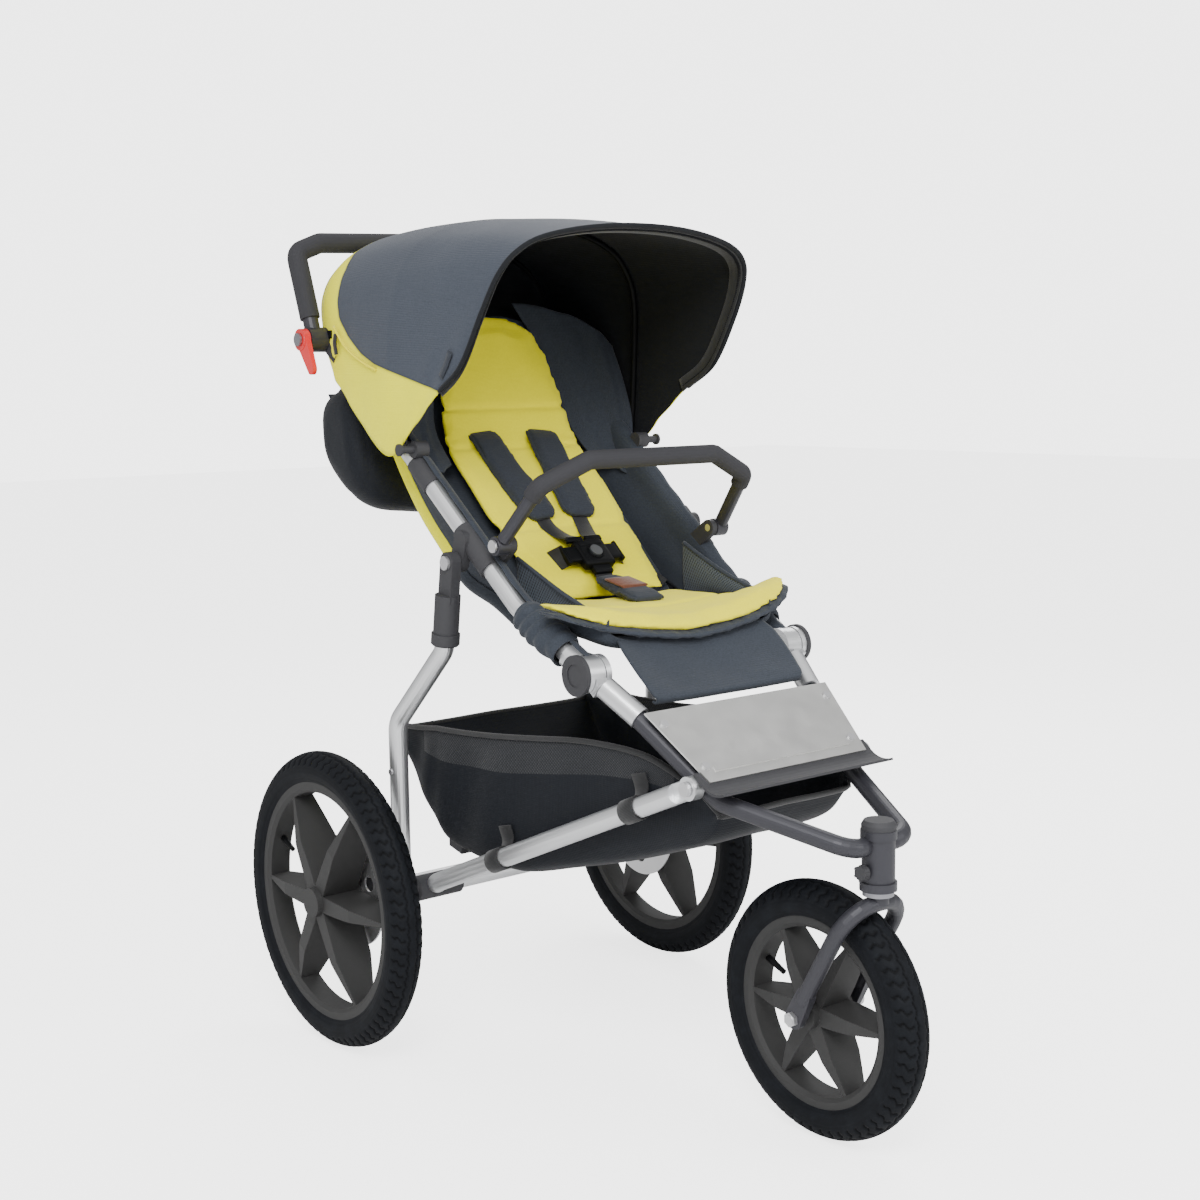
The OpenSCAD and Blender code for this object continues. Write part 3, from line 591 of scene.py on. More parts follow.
def coating(name, hex_code, roughness, grain_mm=1.2, depth_mm=0.08, coat=0.0, edge="#3a3c40"):
    """A paint or moulded plastic skin: even colour, fine peel or spark texture, paler in scattered worn patches.
    """
    material, tree, shader, place = start(name, Roughness=roughness, IOR=1.5, Specular_IOR_Level=0.12,
                                          Coat_Weight=coat, Coat_Roughness=0.12)
    rub = add(tree, "MapRange", {"Value": noise(tree, place, 14, 5, 0.65), "From Min": 0.55, "From Max": 0.75,
                                 "To Max": 0.25}).outputs[0]
    tree.links.new(blend_colour(tree, rub, linear(hex_code), linear(edge)), shader.inputs["Base Color"])
    shine = add(tree, "MapRange", {"Value": noise(tree, place, 40, 3), "From Min": 0.3, "From Max": 0.7,
                                   "To Min": roughness - 0.06, "To Max": roughness + 0.08}).outputs[0]
    tree.links.new(shine, shader.inputs["Roughness"])
    tree.links.new(bump(tree, noise(tree, place, grain_mm, 2), depth_mm, 0.5), shader.inputs["Normal"])
    return material


aluminium = metal("satin_anodised_aluminium", "#d3d5d8", 0.27)
plate_metal = metal("bead_blasted_aluminium_plate", "#d6d6d4", 0.38, brush_mm=3, streak=0.04)
zinc = metal("zinc_plated_steel", "#c6c8cc", 0.3, brush_mm=2)
dark_steel = metal("blackened_steel", "#4a4c50", 0.4, brush_mm=2)
powder = coating("black_powder_coat", "#08090b", 0.42, grain_mm=1.4, edge="#101114")
nylon = coating("glass_filled_nylon", "#0b0c0e", 0.52, grain_mm=0.9, depth_mm=0.12, edge="#141517")
wheel_nylon = coating("wheel_nylon", "#08090b", 0.45, grain_mm=1.1, edge="#111215")
soft_button = coating("satin_button_plastic", "#1a1b1e", 0.4, edge="#26282b")
red_plastic = coating("glossy_red_plastic", "#d5202c", 0.2, grain_mm=8, depth_mm=0.03, coat=0.6,
                      edge="#e0464e")
brown_patch = woven("brown_label_cloth", "#7a4a35", "#5d3729", thread_mm=1.4, roughness=0.8)
print("metals and coatings ready")

# %% [markdown]
# ## Foam and rubber
# The handlebar and the grab bar wear closed cell EVA foam: matt, pitted and slightly soft in
# outline. The tyres are carbon black rubber with a blue cast, dusty on the raised tread, and
# painted near black in the tread's grooves as painted shade.

# %% Foam and rubber
def foam(name, hex_code):
    material, tree, shader, place = start(name, Roughness=0.6, IOR=1.45, Specular_IOR_Level=0.25)
    cells = add(tree, "TexVoronoi", {"Vector": place, "Scale": 1000 / 1.8}).outputs["Distance"]
    tone = add(tree, "MapRange", {"Value": cells, "To Min": 0.75, "To Max": 1.2}).outputs[0]
    tree.links.new(blend_colour(tree, 1.0, linear(hex_code), tone, "MULTIPLY"), shader.inputs["Base Color"])
    dents = bump(tree, noise(tree, place, 26, 2), 0.8)
    tree.links.new(bump(tree, cells, 0.25, 0.6, dents), shader.inputs["Normal"])
    return material


def rubber(name, hex_code, dust):
    material, tree, shader, place = start(name, Roughness=0.66, IOR=1.52, Specular_IOR_Level=0.12)
    wear = add(tree, "MapRange", {"Value": noise(tree, place, 22, 5, 0.65), "From Min": 0.45,
                                  "From Max": 0.75, "To Max": 0.5}).outputs[0]
    worn = blend_colour(tree, wear, linear(hex_code), linear(dust))
    # The tread's grooves are painted near black by their cut depth: painted shade, not a colour of the rubber.
    cut = add(tree, "Attribute", attribute_name="cut").outputs["Fac"]
    tree.links.new(blend_colour(tree, cut, worn, linear("#030304")), shader.inputs["Base Color"])
    tree.links.new(bump(tree, noise(tree, place, 1.1, 3), 0.1, 0.5), shader.inputs["Normal"])
    return material


grip_foam = foam("eva_foam", "#15161a")
tyre_rubber = rubber("tyre_rubber", "#101216", "#1d2025")
SLOTS = {"anodised_aluminium": aluminium, "black_paint": powder, "black_plastic": nylon,
         "button_plastic": soft_button, "steel": zinc, "bearing_steel": dark_steel,
         "red_plastic": red_plastic, "foam_grip": grip_foam, "wheel_plastic": wheel_nylon,
         "tyre_rubber": tyre_rubber,
         "grey_fabric": slate_cloth, "yellow_fabric": liner_cloth, "dark_fabric": navy_cloth,
         "strap_fabric": black_webbing}
for entry in frame["record"]["materials"]:
    for name in entry.get("nodes", []):
        for place in frame["nodes"][name].material_slots:
            place.material = SLOTS[entry["slot"]]
for place in frame["nodes"]["footplate"].material_slots:
    place.material = plate_metal
print("finishes on", len(frame["nodes"]), "frame nodes")

# %% [markdown]
# ## Floor and light
# A white sweep, a white room and three large soft lamps, as a studio has. The sweep glows only
# toward the eye, so it looks white without throwing light up under the frame. The room is bright
# on the left and above and dim behind on the right, which gives the metal its dark edges.

# %% Floor, room and lamps
def studio_floor(reach=14):
    z = cad_box[0].z
    corners = [(-reach, -reach, z), (reach, -reach, z), (reach, reach, z), (-reach, reach, z)]
    floor = new_piece("floor", corners, [(0, 1, 2, 3)])
    material, tree, shader, place = start("pale_floor", Roughness=0.7)
    tone = add(tree, "MapRange", {"Value": noise(tree, place, 900, 2), "To Min": 0.97,
                                  "To Max": 1.0}).outputs[0]
    tree.links.new(blend_colour(tree, 1.0, linear("#fbfbfb"), tone, "MULTIPLY"), shader.inputs["Base Color"])
    seen = add(tree, "LightPath").outputs["Is Camera Ray"]
    shader.inputs["Emission Color"].default_value = (1, 1, 1, 1)
    tree.links.new(maths(tree, "MULTIPLY", seen, 2.6), shader.inputs["Emission Strength"])
    floor.data.materials.append(material)


def white_room():
    world = bpy.data.worlds.new("white_room")
    world.use_nodes = True
    world.node_tree.nodes["Background"].inputs["Color"].default_value = (1, 1, 1, 1)
    tree = world.node_tree
    seen = add(tree, "LightPath").outputs["Is Camera Ray"]
    way = add(tree, "TexCoord").outputs["Generated"]
    facing = add(tree, "VectorMath", {0: way, 1: (-0.60, -0.42, 0.68)}, operation="DOT_PRODUCT")
    room = add(tree, "MapRange", {"Value": facing.outputs["Value"], "From Min": -0.7, "From Max": 0.9,
                                  "To Min": 0.2, "To Max": 1.3}).outputs[0]
    glow = add(tree, "Mix", {"Factor": seen, "A": room, "B": 3.9}, data_type="FLOAT").outputs["Result"]
    tree.links.new(glow, tree.nodes["Background"].inputs["Strength"])
    bpy.context.scene.world = world


def soft_lamp(name, spot, size, power):
    data = bpy.data.lights.new(name, "AREA")
    data.size, data.energy = size, power
    lamp = bpy.data.objects.new(name, data)
    bpy.context.scene.collection.objects.link(lamp)
    lamp.location = spot
    aim = Vector((0, 0, 0.6)) - Vector(spot)
    lamp.rotation_euler = aim.to_track_quat("-Z", "Y").to_euler()


studio_floor()
white_room()
soft_lamp("key", (-1.7, -1.9, 2.6), 1.3, 84)
soft_lamp("rim", (1.8, 1.4, 2.2), 1.6, 34)
soft_lamp("front", (1.2, -2.7, 1.7), 1.4, 26)

# %% [markdown]
# ## The canopy
# A canopy is cut from a few panels and sewn into one skin, which the bows hold in tension. So it
# is one sheet here too: ribs from the front rim to the rear bow, lofted. The line between grey
# and lime is a sewn seam. Each point keeps its signed distance from that seam, and the cloth
# changes colour where the distance is zero, which stays crisp whatever the mesh does.

# %% The canopy's ribs
FRONT_RIM = [(210, -167, 884), (212, -219, 916), (210, -262, 978), (203, -288, 1022), (186, -305, 1050),
             (150, -315, 1069), (80, -324, 1082), (0, -328, 1086)]
FRONT_HALF = [(212, -106, 838), (214, -134, 893), (213, -158, 964), (208, -174, 1017), (193, -184, 1053),
              (156, -190, 1082), (86, -194, 1101), (0, -196, 1107)]
MIDDLE = [(211, -45, 798), (214, -49, 868), (214, -54, 948), (209, -60, 1006), (195, -63, 1045),
          (160, -65, 1082), (90, -67, 1107), (0, -68, 1114)]
REAR_HALF = [(208, 26, 836), (212, 28, 900), (212, 31, 962), (208, 35, 1012), (194, 38, 1047),
             (158, 40, 1083), (90, 42, 1109), (0, 44, 1117)]
REAR = [(205, 97, 896), (208, 110, 938), (207, 118, 978), (203, 119, 1014), (189, 119, 1046),
        (154, 120, 1078), (90, 124, 1104), (0, 127, 1114)]
REAR_BOW = [(198, 113, 908), (199, 132, 950), (198, 142, 986), (194, 143, 1016), (179, 142, 1045),
            (148, 141, 1073), (88, 141, 1099), (0, 142, 1107)]
DROP = [(184, 106, 902), (186, 124, 944), (185, 136, 980), (181, 139, 1006), (165, 139, 1030),
        (136, 139, 1054), (80, 139, 1074), (0, 139, 1082)]
HANG = [(160, 78, 888), (162, 92, 924), (160, 102, 954), (155, 108, 980), (141, 110, 1000), (114, 111, 1014),
        (66, 111, 1026), (0, 111, 1032)]
SEAT_TOP = [(138, 38, 872), (139, 44, 902), (137, 50, 930), (132, 54, 952), (117, 57, 966), (92, 58, 975),
            (54, 58, 980), (0, 58, 982)]
SEAM = [(-167, 884), (-121, 895), (-87, 903), (-46, 913), (-17, 920), (18, 934), (54, 958), (78, 982),
        (86, 1006), (88, 1030), (94, 1050), (106, 1066), (126, 1080), (129, 1150)]

print(len(SEAM), "points on the seam")

# %% [markdown]
# ## The canopy's sheet and its seam
# Only one half of each rib is drafted, so the other half is its mirror. The sheet sags a
# little between the bows, and the low sides, which nothing stretches, keep a few ripples.

# %% The canopy's sheet and its seam
def mirror_rib(rib):
    """The whole rib, from the low left edge over the crown to the low right edge."""
    return [P(-x, y, z) for x, y, z in rib] + [P(x, y, z) for x, y, z in reversed(rib[:-1])]


def past_line(y, z, line):
    """Signed distance from a line of (y, z) points in millimetres, above zero on its right."""
    best = None
    for (ay, az), (by, bz) in zip(line, line[1:]):
        dy, dz = by - ay, bz - az
        t = max(0, min(1, ((y - ay) * dy + (z - az) * dz) / (dy * dy + dz * dz)))
        far = math.hypot(y - ay - t * dy, z - az - t * dz)
        if best is None or far < best[0]:
            best = (far, dy * (z - az) - dz * (y - ay))
    return best[0] * (-1 if best[1] > 0 else 1)


def mark_seam(piece, rule):
    """Keeps rule(point) at every vertex as its distance past the seam, in metres."""
    seam = piece.data.attributes.new("seam", "FLOAT", "POINT")
    for v, item in zip(piece.data.vertices, seam.data):
        item.value = rule(v.co) / 1000
    return piece


def flip_if(piece, outward):
    """Turns the sheet's faces so that most of it faces outward."""
    if sum(f.normal.dot(outward) * f.area for f in piece.data.polygons) < 0:
        piece.data.flip_normals()


def canopy_seam(co):
    return past_line((co.y - axle_y) * 1000, co.z * 1000, SEAM)


CANOPY_RIBS = [mirror_rib(r) for r in (FRONT_RIM, FRONT_HALF, MIDDLE, REAR_HALF, REAR, REAR_BOW)]


def canopy(across=121, along=111):
    piece = loft("canopy_sheet", CANOPY_RIBS, across, along, [canopy_cloth])
    rng = random.Random(4)
    waves = [(rng.uniform(0, 6.3), rng.uniform(0.6, 1.4)) for _ in range(5)]
    for i in range(along):
        for j in range(across):
            v = piece.data.vertices[i * across + j]
            s, t = i / (along - 1), j / (across - 1)
            low = 1 - smooth_step(min(t, 1 - t) / 0.22)
            slack = math.sin(math.pi * min(1, s / 0.4)) if s < 0.4 else math.sin(math.pi * (s - 0.4) / 0.6)
            ripple = sum(a * math.sin(9 * k * s + 5 * t * k + p) for k, (p, a) in enumerate(waves, 2)) * 0.35
            sink = 3.2 * abs(slack) * (0.5 + 0.5 * math.sin(math.pi * t)) + ripple * low * 0.9
            away = (v.co - P(0, -60, 900)).normalized()
            v.co -= away * sink / 1000
    mark_seam(piece, canopy_seam)
    flip_if(piece, Vector((0, 0, 1)))
    return thicken(piece, 0.0016, lining_cloth)


canopy_sheet = canopy()
canopy_cut = cut_area(CANOPY_RIBS)
print("canopy cut", canopy_cut, "square metres")

# %% [markdown]
# ## What holds the canopy
# Two black bows show inside, a binding closes the front rim, and a coil zip for the sun visor
# runs just behind it. The zip's teeth are small blocks about 3 mm apart along its tape.

# %% Rim, zip and bows
def inset(rib, by):
    """A rib drawn in towards the middle of the canopy, by millimetres."""
    out = []
    for p in mirror_rib(rib):
        inward = (P(0, (rib[-1][1] + rib[0][1]) / 2, 930) - p).normalized()
        out.append(p + inward * by / 1000)
    return out


TOOTH = (0.0009, 0.0022, 0.0016)


def canopy_rim():
    line = even(curve(mirror_rib(FRONT_RIM), 400), 240)
    binding = tube("canopy_rim_binding", line, 0.0038, [lining_cloth], 10, flat=0.8)
    line_in = even(curve(inset(FRONT_RIM, 6), 400), 160)
    shade = [p + Vector((0, 0.010, 0)) for p in line_in]
    tape = strap("canopy_zip_tape", shade, lambda t: Vector((0, 1, -0.2)), 0.020, 0.0014, [black_webbing])
    coil = even(curve(inset(FRONT_RIM, 5), 500), 300)
    verts, faces = [], []
    for p, a, b in frames([q + Vector((0, 0.004, 0)) for q in coil]):
        k = len(verts)
        way = a.cross(b)
        for sx in (-1, 1):
            for sy in (-1, 1):
                for sz in (-1, 1):
                    verts.append(p + way * sx * TOOTH[0] + a * sy * TOOTH[1] + b * sz * TOOTH[2])
        faces += [(k, k + 1, k + 3, k + 2), (k + 4, k + 6, k + 7, k + 5), (k, k + 4, k + 5, k + 1),
                  (k + 2, k + 3, k + 7, k + 6), (k, k + 2, k + 6, k + 4), (k + 1, k + 5, k + 7, k + 3)]
    teeth = new_piece("canopy_zip_teeth", verts, faces, [soft_button], smooth=False)
    for piece in (tape, teeth):
        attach(piece, "canopy_front")
    return binding


def bow(name, rib, body, drop=7):
    line = even(curve(inset(rib, drop), 200), 90)
    piece = tube(name, line, 0.0045, [nylon], 10)
    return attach(piece, body)


rim = canopy_rim()
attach(rim, "canopy_front")
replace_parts(rim, "canopy_bow")
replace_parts(canopy_sheet, "canopy_rear", "canopy_mid", "canopy_front")
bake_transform(canopy_sheet)
bow("canopy_middle_bow", MIDDLE, "canopy_mid")
bow("canopy_rear_bow", REAR_BOW, "side_frame", 5)
print("rim, zip and two bows")

# %% [markdown]
# ## Zip windows, snaps and the tag
# Each lime side has a slit with a black zip puller, a round snap behind it, and the near rim has
# a small blank tag. They are moulded or folded, so each gets its own small mesh.

# %% Canopy trimmings
def canopy_trim(side_name, side):
    out = Vector((side, 0, 0))
    snap = moulded("canopy_snap_" + side_name, (0.004, 0.011, 0.011), P(side * 208, 104, 962), round_by=0.45,
                   materials=[nylon])
    pull = strap("canopy_zip_pull_" + side_name,
                 curve([P(side * 213, 81, 962), P(side * 215, 80, 948), P(side * 214, 78, 934)], 12),
                 Vector((0, 1, 0)), 0.0075, 0.003, [black_webbing])
    slit = strap("canopy_zip_window_" + side_name,
                 curve([P(side * 213.5, 84, 972), P(side * 214.5, 55, 945), P(side * 215, 15, 925),
                        P(side * 215.5, -25, 912)], 30), out, 0.003, 0.005, [liner_cloth])
    for piece, slot in ((snap, "black_plastic"), (pull, "strap_fabric"), (slit, "yellow_fabric")):
        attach(piece, "side_frame")


for side_name, side in SIDES.items():
    canopy_trim(side_name, side)
tag = strap("canopy_tag", curve([P(-213.5, -176, 902), P(-214.5, -190, 917), P(-215, -200, 932)], 10),
            Vector((0, 0.7, 0.5)), 0.010, 0.002, [pad_cloth])
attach(tag, "canopy_front")
print("trimmings on both sides")

# %% [markdown]
# ## The canopy's back
# Behind the rear bow the cloth drops to the top of the backrest. On the real stroller it follows
# the backrest when the seat reclines; here it is its own sheet, fixed where it hangs.

# %% Back drop
DROP_RIBS = [mirror_rib(r) for r in (REAR_BOW, DROP, HANG, SEAT_TOP)]


def back_drop():
    piece = loft("canopy_back_drop", DROP_RIBS, 97, 41, [canopy_cloth])
    for v in piece.data.vertices:
        x, z = v.co.x * 1000, v.co.z * 1000
        fold = 2.2 * math.sin(x / 17.0) * smooth_step((1090 - z) / 60) * smooth_step((z - 965) / 40)
        v.co.y += fold / 1000
    mark_seam(piece, canopy_seam)
    flip_if(piece, Vector((0, 1, 0)))
    return thicken(piece, 0.0016, lining_cloth)


drop = back_drop()
drop_cut = cut_area(DROP_RIBS)
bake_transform(drop)
print("back drop", drop_cut, "square metres")

# %% [markdown]
# ## The padded liner
# The lime liner is a thin quilted pad: brushed cloth over wadding, sewn through in channels. It
# starts as a flat-edged shell a little smaller than the pad, is remeshed to small even cells,
# and the cloth solver then blows it up as wadding does, with each point's travel capped. The
# channels are pressed in afterwards, because the solver would smooth them away.

# %% A pad's shell
def shell(name, front, thickness, across=41, along=61, materials=(), rim=0.25):
    """A closed pad. front(u, v) gives a point and its outward normal, u -1..1 and v 0..1.
    rim is the share of the thickness left at its edge."""
    top, low = [], []
    for j in range(along):
        v = j / (along - 1)
        top_row, low_row = [], []
        for i in range(across):
            u = -math.cos(math.pi * i / (across - 1))
            p, n = front(u, v)
            edge = max(0.0, 1 - abs(u) ** 5) ** 0.5 * max(0.0, 1 - abs(2 * v - 1) ** 14) ** 0.5
            t = thickness / 2 * (rim + (1 - rim) * edge)
            top_row.append(p + n * t)
            low_row.append(p - n * t)
        top.append(top_row)
        low.append(low_row)
    rows = [a + list(reversed(b)) for a, b in zip(top, low)]
    piece = skin(name, rows, materials, ring=True)
    mesh = bmesh.new()
    mesh.from_mesh(piece.data)
    mesh.verts.ensure_lookup_table()
    m = 2 * across
    for j, turn in ((0, True), (along - 1, False)):
        for i in range(across - 1):
            quad = [mesh.verts[j * m + k] for k in (i, i + 1, m - 2 - i, m - 1 - i)]
            mesh.faces.new(quad if turn else quad[::-1])
    bmesh.ops.remove_doubles(mesh, verts=mesh.verts, dist=0.00005)
    bmesh.ops.recalc_face_normals(mesh, faces=mesh.faces)
    mesh.to_mesh(piece.data)
    mesh.free()
    piece.data.shade_smooth()
    return piece


print("pad shells ready")

# %% [markdown]
# ## How a pad is filled
# The solver starts from rest each time and runs the same number of frames, so a pad always comes
# out the same. Stitching is a groove with soft sides, pressed in along the normals.

# %% How a pad is filled
FILL_PRESSURE, SWELL_FRAMES = 4.0, 20


def fill_pad(piece, voxel=0.005, reach=0.006):
    """Blows the shell up as wadding does. No point moves further than reach."""
    remesh = piece.modifiers.new("even cells", "REMESH")
    remesh.mode, remesh.voxel_size, remesh.use_smooth_shade = "VOXEL", voxel, True
    settle(piece)
    rest = [v.co.copy() for v in piece.data.vertices]
    cloth = piece.modifiers.new("filling", "CLOTH")
    cloth.settings.use_pressure = True
    cloth.settings.uniform_pressure_force = FILL_PRESSURE
    cloth.settings.effector_weights.gravity = 0
    cloth.settings.quality = 4
    cloth.point_cache.frame_start, cloth.point_cache.frame_end = 1, SWELL_FRAMES
    scene = bpy.context.scene
    for number in range(1, SWELL_FRAMES + 1):
        scene.frame_set(number)
    swollen = piece.evaluated_get(bpy.context.evaluated_depsgraph_get()).to_mesh()
    for v, was, now in zip(piece.data.vertices, rest, [q.co.copy() for q in swollen.vertices]):
        move = now - was
        v.co = was + move * min(1.0, reach / max(move.length, 1e-9))
    piece.modifiers.clear()
    scene.frame_set(1)
    fine = piece.modifiers.new("fine", "SUBSURF")
    fine.levels = fine.render_levels = 1
    settle(piece)
    piece.data.shade_smooth()
    return piece


def press(piece, rule):
    """Moves each vertex in along its normal by rule(point) millimetres, as a seam pulls wadding in."""
    depth = [rule(v.co) for v in piece.data.vertices]
    normals = [n.vector.copy() for n in piece.data.vertex_normals]
    for v, d, n in zip(piece.data.vertices, depth, normals):
        v.co -= n * d / 1000
    return piece


def groove(distance_mm, width_mm, depth_mm):
    return depth_mm * math.exp(-(distance_mm / width_mm) ** 2)


print("a 3 mm stitch at its middle and edge:", groove(0, 4, 3), round(groove(4, 4, 3), 2))

# %% [markdown]
# ## Backrest liner
# The back liner follows the backrest's hollow curve and narrows to a round top. Three sewn
# channels cross it, and each shoulder strap comes through a slit.

# %% Back liner
BACK_LINE = [P(0, y, z) for y, z in ((-240, 612), (-150, 695), (-90, 750), (-33, 805), (-13, 856), (6, 930),
                                     (12, 992))]
BACK_WIDTH = [(0.0, 103), (0.2, 112), (0.42, 119), (0.6, 117), (0.76, 107), (0.88, 92), (0.95, 72),
              (0.985, 44), (1.0, 12)]


def between(table, t):
    """A smooth value from a short table of (place, value)."""
    for (a, x), (b, y) in zip(table, table[1:]):
        if t <= b:
            return x + (y - x) * (t - a) / (b - a)
    return table[-1][1]


BACK_FINE = even(curve(BACK_LINE, 200), 200)


def back_front(u, v):
    last = len(BACK_FINE) - 2
    k = v * last
    i = min(int(k), last)
    p = BACK_FINE[i].lerp(BACK_FINE[i + 1], k - i)
    way = (BACK_FINE[i + 1] - BACK_FINE[max(i - 1, 0)]).normalized()
    normal = Vector((0, -way.z, way.y))
    half = between(BACK_WIDTH, v) / 1000
    hollow = 0.010 * (u * half / 0.12) ** 2
    return p + Vector((u * half, 0, 0)) + normal * (hollow - 0.006), normal


def back_seams(co):
    z, x = co.z * 1000, abs(co.x) * 1000
    d = groove(z - 858, 4, 3.6) + groove(z - 803 - 0.02 * x, 3.5, 2.4) + groove(z - 700, 4, 2.6)
    slit = groove(z - 812, 3, 3.0) if 24 < x < 62 else 0
    return d + slit + 0.5 * math.sin(co.x * 120) * math.sin(co.z * 90)


back_liner = shell("back_liner", back_front, 0.013, 45, 95, [liner_cloth])
fill_pad(back_liner, reach=0.0035)
press(back_liner, back_seams)
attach(back_liner, "seat_back")
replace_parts(back_liner, "back_pad")
print("back liner", len(back_liner.data.vertices), "points")

# %% [markdown]
# ## Seat liner
# The seat liner is cut as a T: narrow between the side panels, then a wide bib over the seat's
# front bar whose corners turn up and out past the tubes. A grey underside peeps out below it,
# drawn into scallops by its elastic.

# %% Seat liner
SEAT_WIDTH = [(0.0, 104), (0.25, 110), (0.5, 117), (0.56, 124), (0.62, 152), (0.68, 186), (0.78, 202),
              (0.88, 196), (0.95, 176), (1.0, 140)]


def seat_front(u, v):
    half = between(SEAT_WIDTH, v)
    x = u * half
    out = smooth_step((v - 0.5) / 0.3)
    y = -246 - 178 * v + 26 * out * (abs(x) / 200) ** 2
    z = 604 - 3 * v + out * (-6 + 34 * (abs(x) / 200) ** 1.6) - 7 * smooth_step((v - 0.86) / 0.14)
    lift = 6 * (1 - out) * (abs(x) / 110) ** 2
    return P(x, y, z + lift), Vector((0, 0, 1))


seat_liner = shell("seat_liner", seat_front, 0.012, 61, 71, [liner_cloth])
fill_pad(seat_liner, reach=0.0035)


def seat_seams(co):
    y, x = (co.y - axle_y) * 1000, co.x * 1000
    pull = groove(y + 352 - 0.0006 * x * x, 5, 2.4)
    edge = 0.9 * math.sin(x / 17) * smooth_step((-y - 396) / 20)
    return pull + edge + 0.5 * math.sin(x * 0.11) * math.sin(y * 0.09)


press(seat_liner, seat_seams)
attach(seat_liner, "side_frame")
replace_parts(seat_liner, "seat_pad")


def liner_underside():
    """The grey back of the bib, a little larger than the yellow face and tucked under it."""
    def front(u, v):
        p, n = seat_front(u, 0.58 + 0.42 * v)
        return Vector((p.x * 1.012, p.y - 0.0022 * v, p.z - 0.0095)), n

    piece = shell("liner_underside", front, 0.009, 121, 41, [slate_cloth])
    press(piece, lambda co: 1.3 * abs(math.sin(co.x * 1000 / 15)) + 0.5 * math.sin(co.x * 350))
    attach(piece, "side_frame")
    return piece


liner_underside()
print("seat liner", len(seat_liner.data.vertices), "points")

# %% [markdown]
# ## Side cloths, sleeves and pockets
# Each side panel is sewn round the side tube and hangs down to the seat. Its upper edge lies on
# top of the tube, so the tube's outer face stays bare. Near the fold hub a gathered sleeve
# wraps right round the tube.

# %% Side cloths
TUBE_OUTER = 0.0178
HULL_LOW = [(-402, 566), (-360, 568), (-322, 572), (-260, 581), (-195, 611), (-127, 634), (-69, 681),
            (-20, 726), (34, 793), (74, 862), (92, 902)]
TUBE_Y = [-396, -362, -326, -276, -222, -168, -112, -56, 2, 52, 84]


def side_rib(k, side):
    ty, (ly, lz) = TUBE_Y[k], HULL_LOW[k]
    c = tube_at(ty, side)
    low = P(side * 148, ly, lz)
    s = Vector((side, 0, 0))
    r = TUBE_OUTER
    rim_in = c + s * r * 0.1 + OFF * r * 0.98
    top = c - s * r * 0.25 + OFF * r * 1.0
    inner_top = c - s * r * 0.8 + OFF * r * 0.66
    inner = c - s * r * 1.06
    under = c - s * (r * 1.12) - OFF * 0.018
    mid = c.lerp(low, 0.55) - s * 0.010
    near_low = c.lerp(low, 0.86) - s * 0.004
    return [rim_in, top, inner_top, inner, under, mid, near_low, low]


def side_cloth(side_name, side, across=61, along=141):
    ribs = [side_rib(k, side) for k in range(len(TUBE_Y))]
    piece = loft("side_cloth_" + side_name, ribs, across, along, [slate_cloth])
    rng = random.Random(11)
    folds = [(rng.uniform(0, 6.28), rng.uniform(12, 26)) for _ in range(4)]
    for i in range(along):
        for j in range(across):
            v = piece.data.vertices[i * across + j]
            s, t = i / (along - 1), j / (across - 1)
            hang = smooth_step((t - 0.42) / 0.2) * (1 - smooth_step((t - 0.9) / 0.1))
            wave = sum(math.sin(f * s + p + 2.2 * t) for p, f in folds) / 4
            gather = 0.8 * math.sin(90 * s) * (1 - smooth_step(t / 0.12))
            v.co += Vector((-side, 0, 0)) * (hang * (2.4 + 3.2 * wave)) / 1000 + OFF * gather / 1000
    flip_if(piece, Vector((-side, 0, 0)))
    piece = thicken(piece, 0.0014)
    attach(piece, "side_frame")
    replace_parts(piece, "side_panels")
    return (piece, cut_area(ribs))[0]


print("side cloth cut", cut_area([side_rib(k, RIGHT) for k in range(len(TUBE_Y))]), "square metres")

# %% [markdown]
# ## Gathered sleeves
# The sleeve's elastic draws it into slanting rings, so its radius swells and ripples as it goes.

# %% Gathered sleeves
def tube_sleeve(side_name, side, along=60, around=40):
    line = [tube_at(y, side) for y in (-296, -314, -332, -350, -368)]
    path = even(curve(line, along), along)
    rows = []
    for i, (p, a, b) in enumerate(frames(path)):
        t = i / (along - 1)
        row = []
        for k in range(around):
            q = 2 * math.pi * k / around
            slant = 2.2 * math.sin(q + 4 * t)
            gather = 0.0009 * math.sin(3 * q + 5 * t) + 0.0013 * math.sin(9 * t * math.pi + slant)
            swell = 0.0025 * math.sin(math.pi * t)
            row.append(p + (0.0186 + swell + gather) * (math.cos(q) * a + math.sin(q) * b))
        rows.append(row)
    piece = skin("tube_sleeve_" + side_name, rows, [slate_cloth], ring=True)
    flip_if(piece, Vector((side, 0, 0)))
    piece = thicken(piece, 0.0016)
    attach(piece, "side_frame")
    return piece


print("sleeve is", round((tube_at(-296) - tube_at(-368)).length, 3), "metres long")

# %% [markdown]
# ## Mesh pockets
# A pocket is a short bulging sheet with a bound mouth, sewn on the side cloth's inner face.

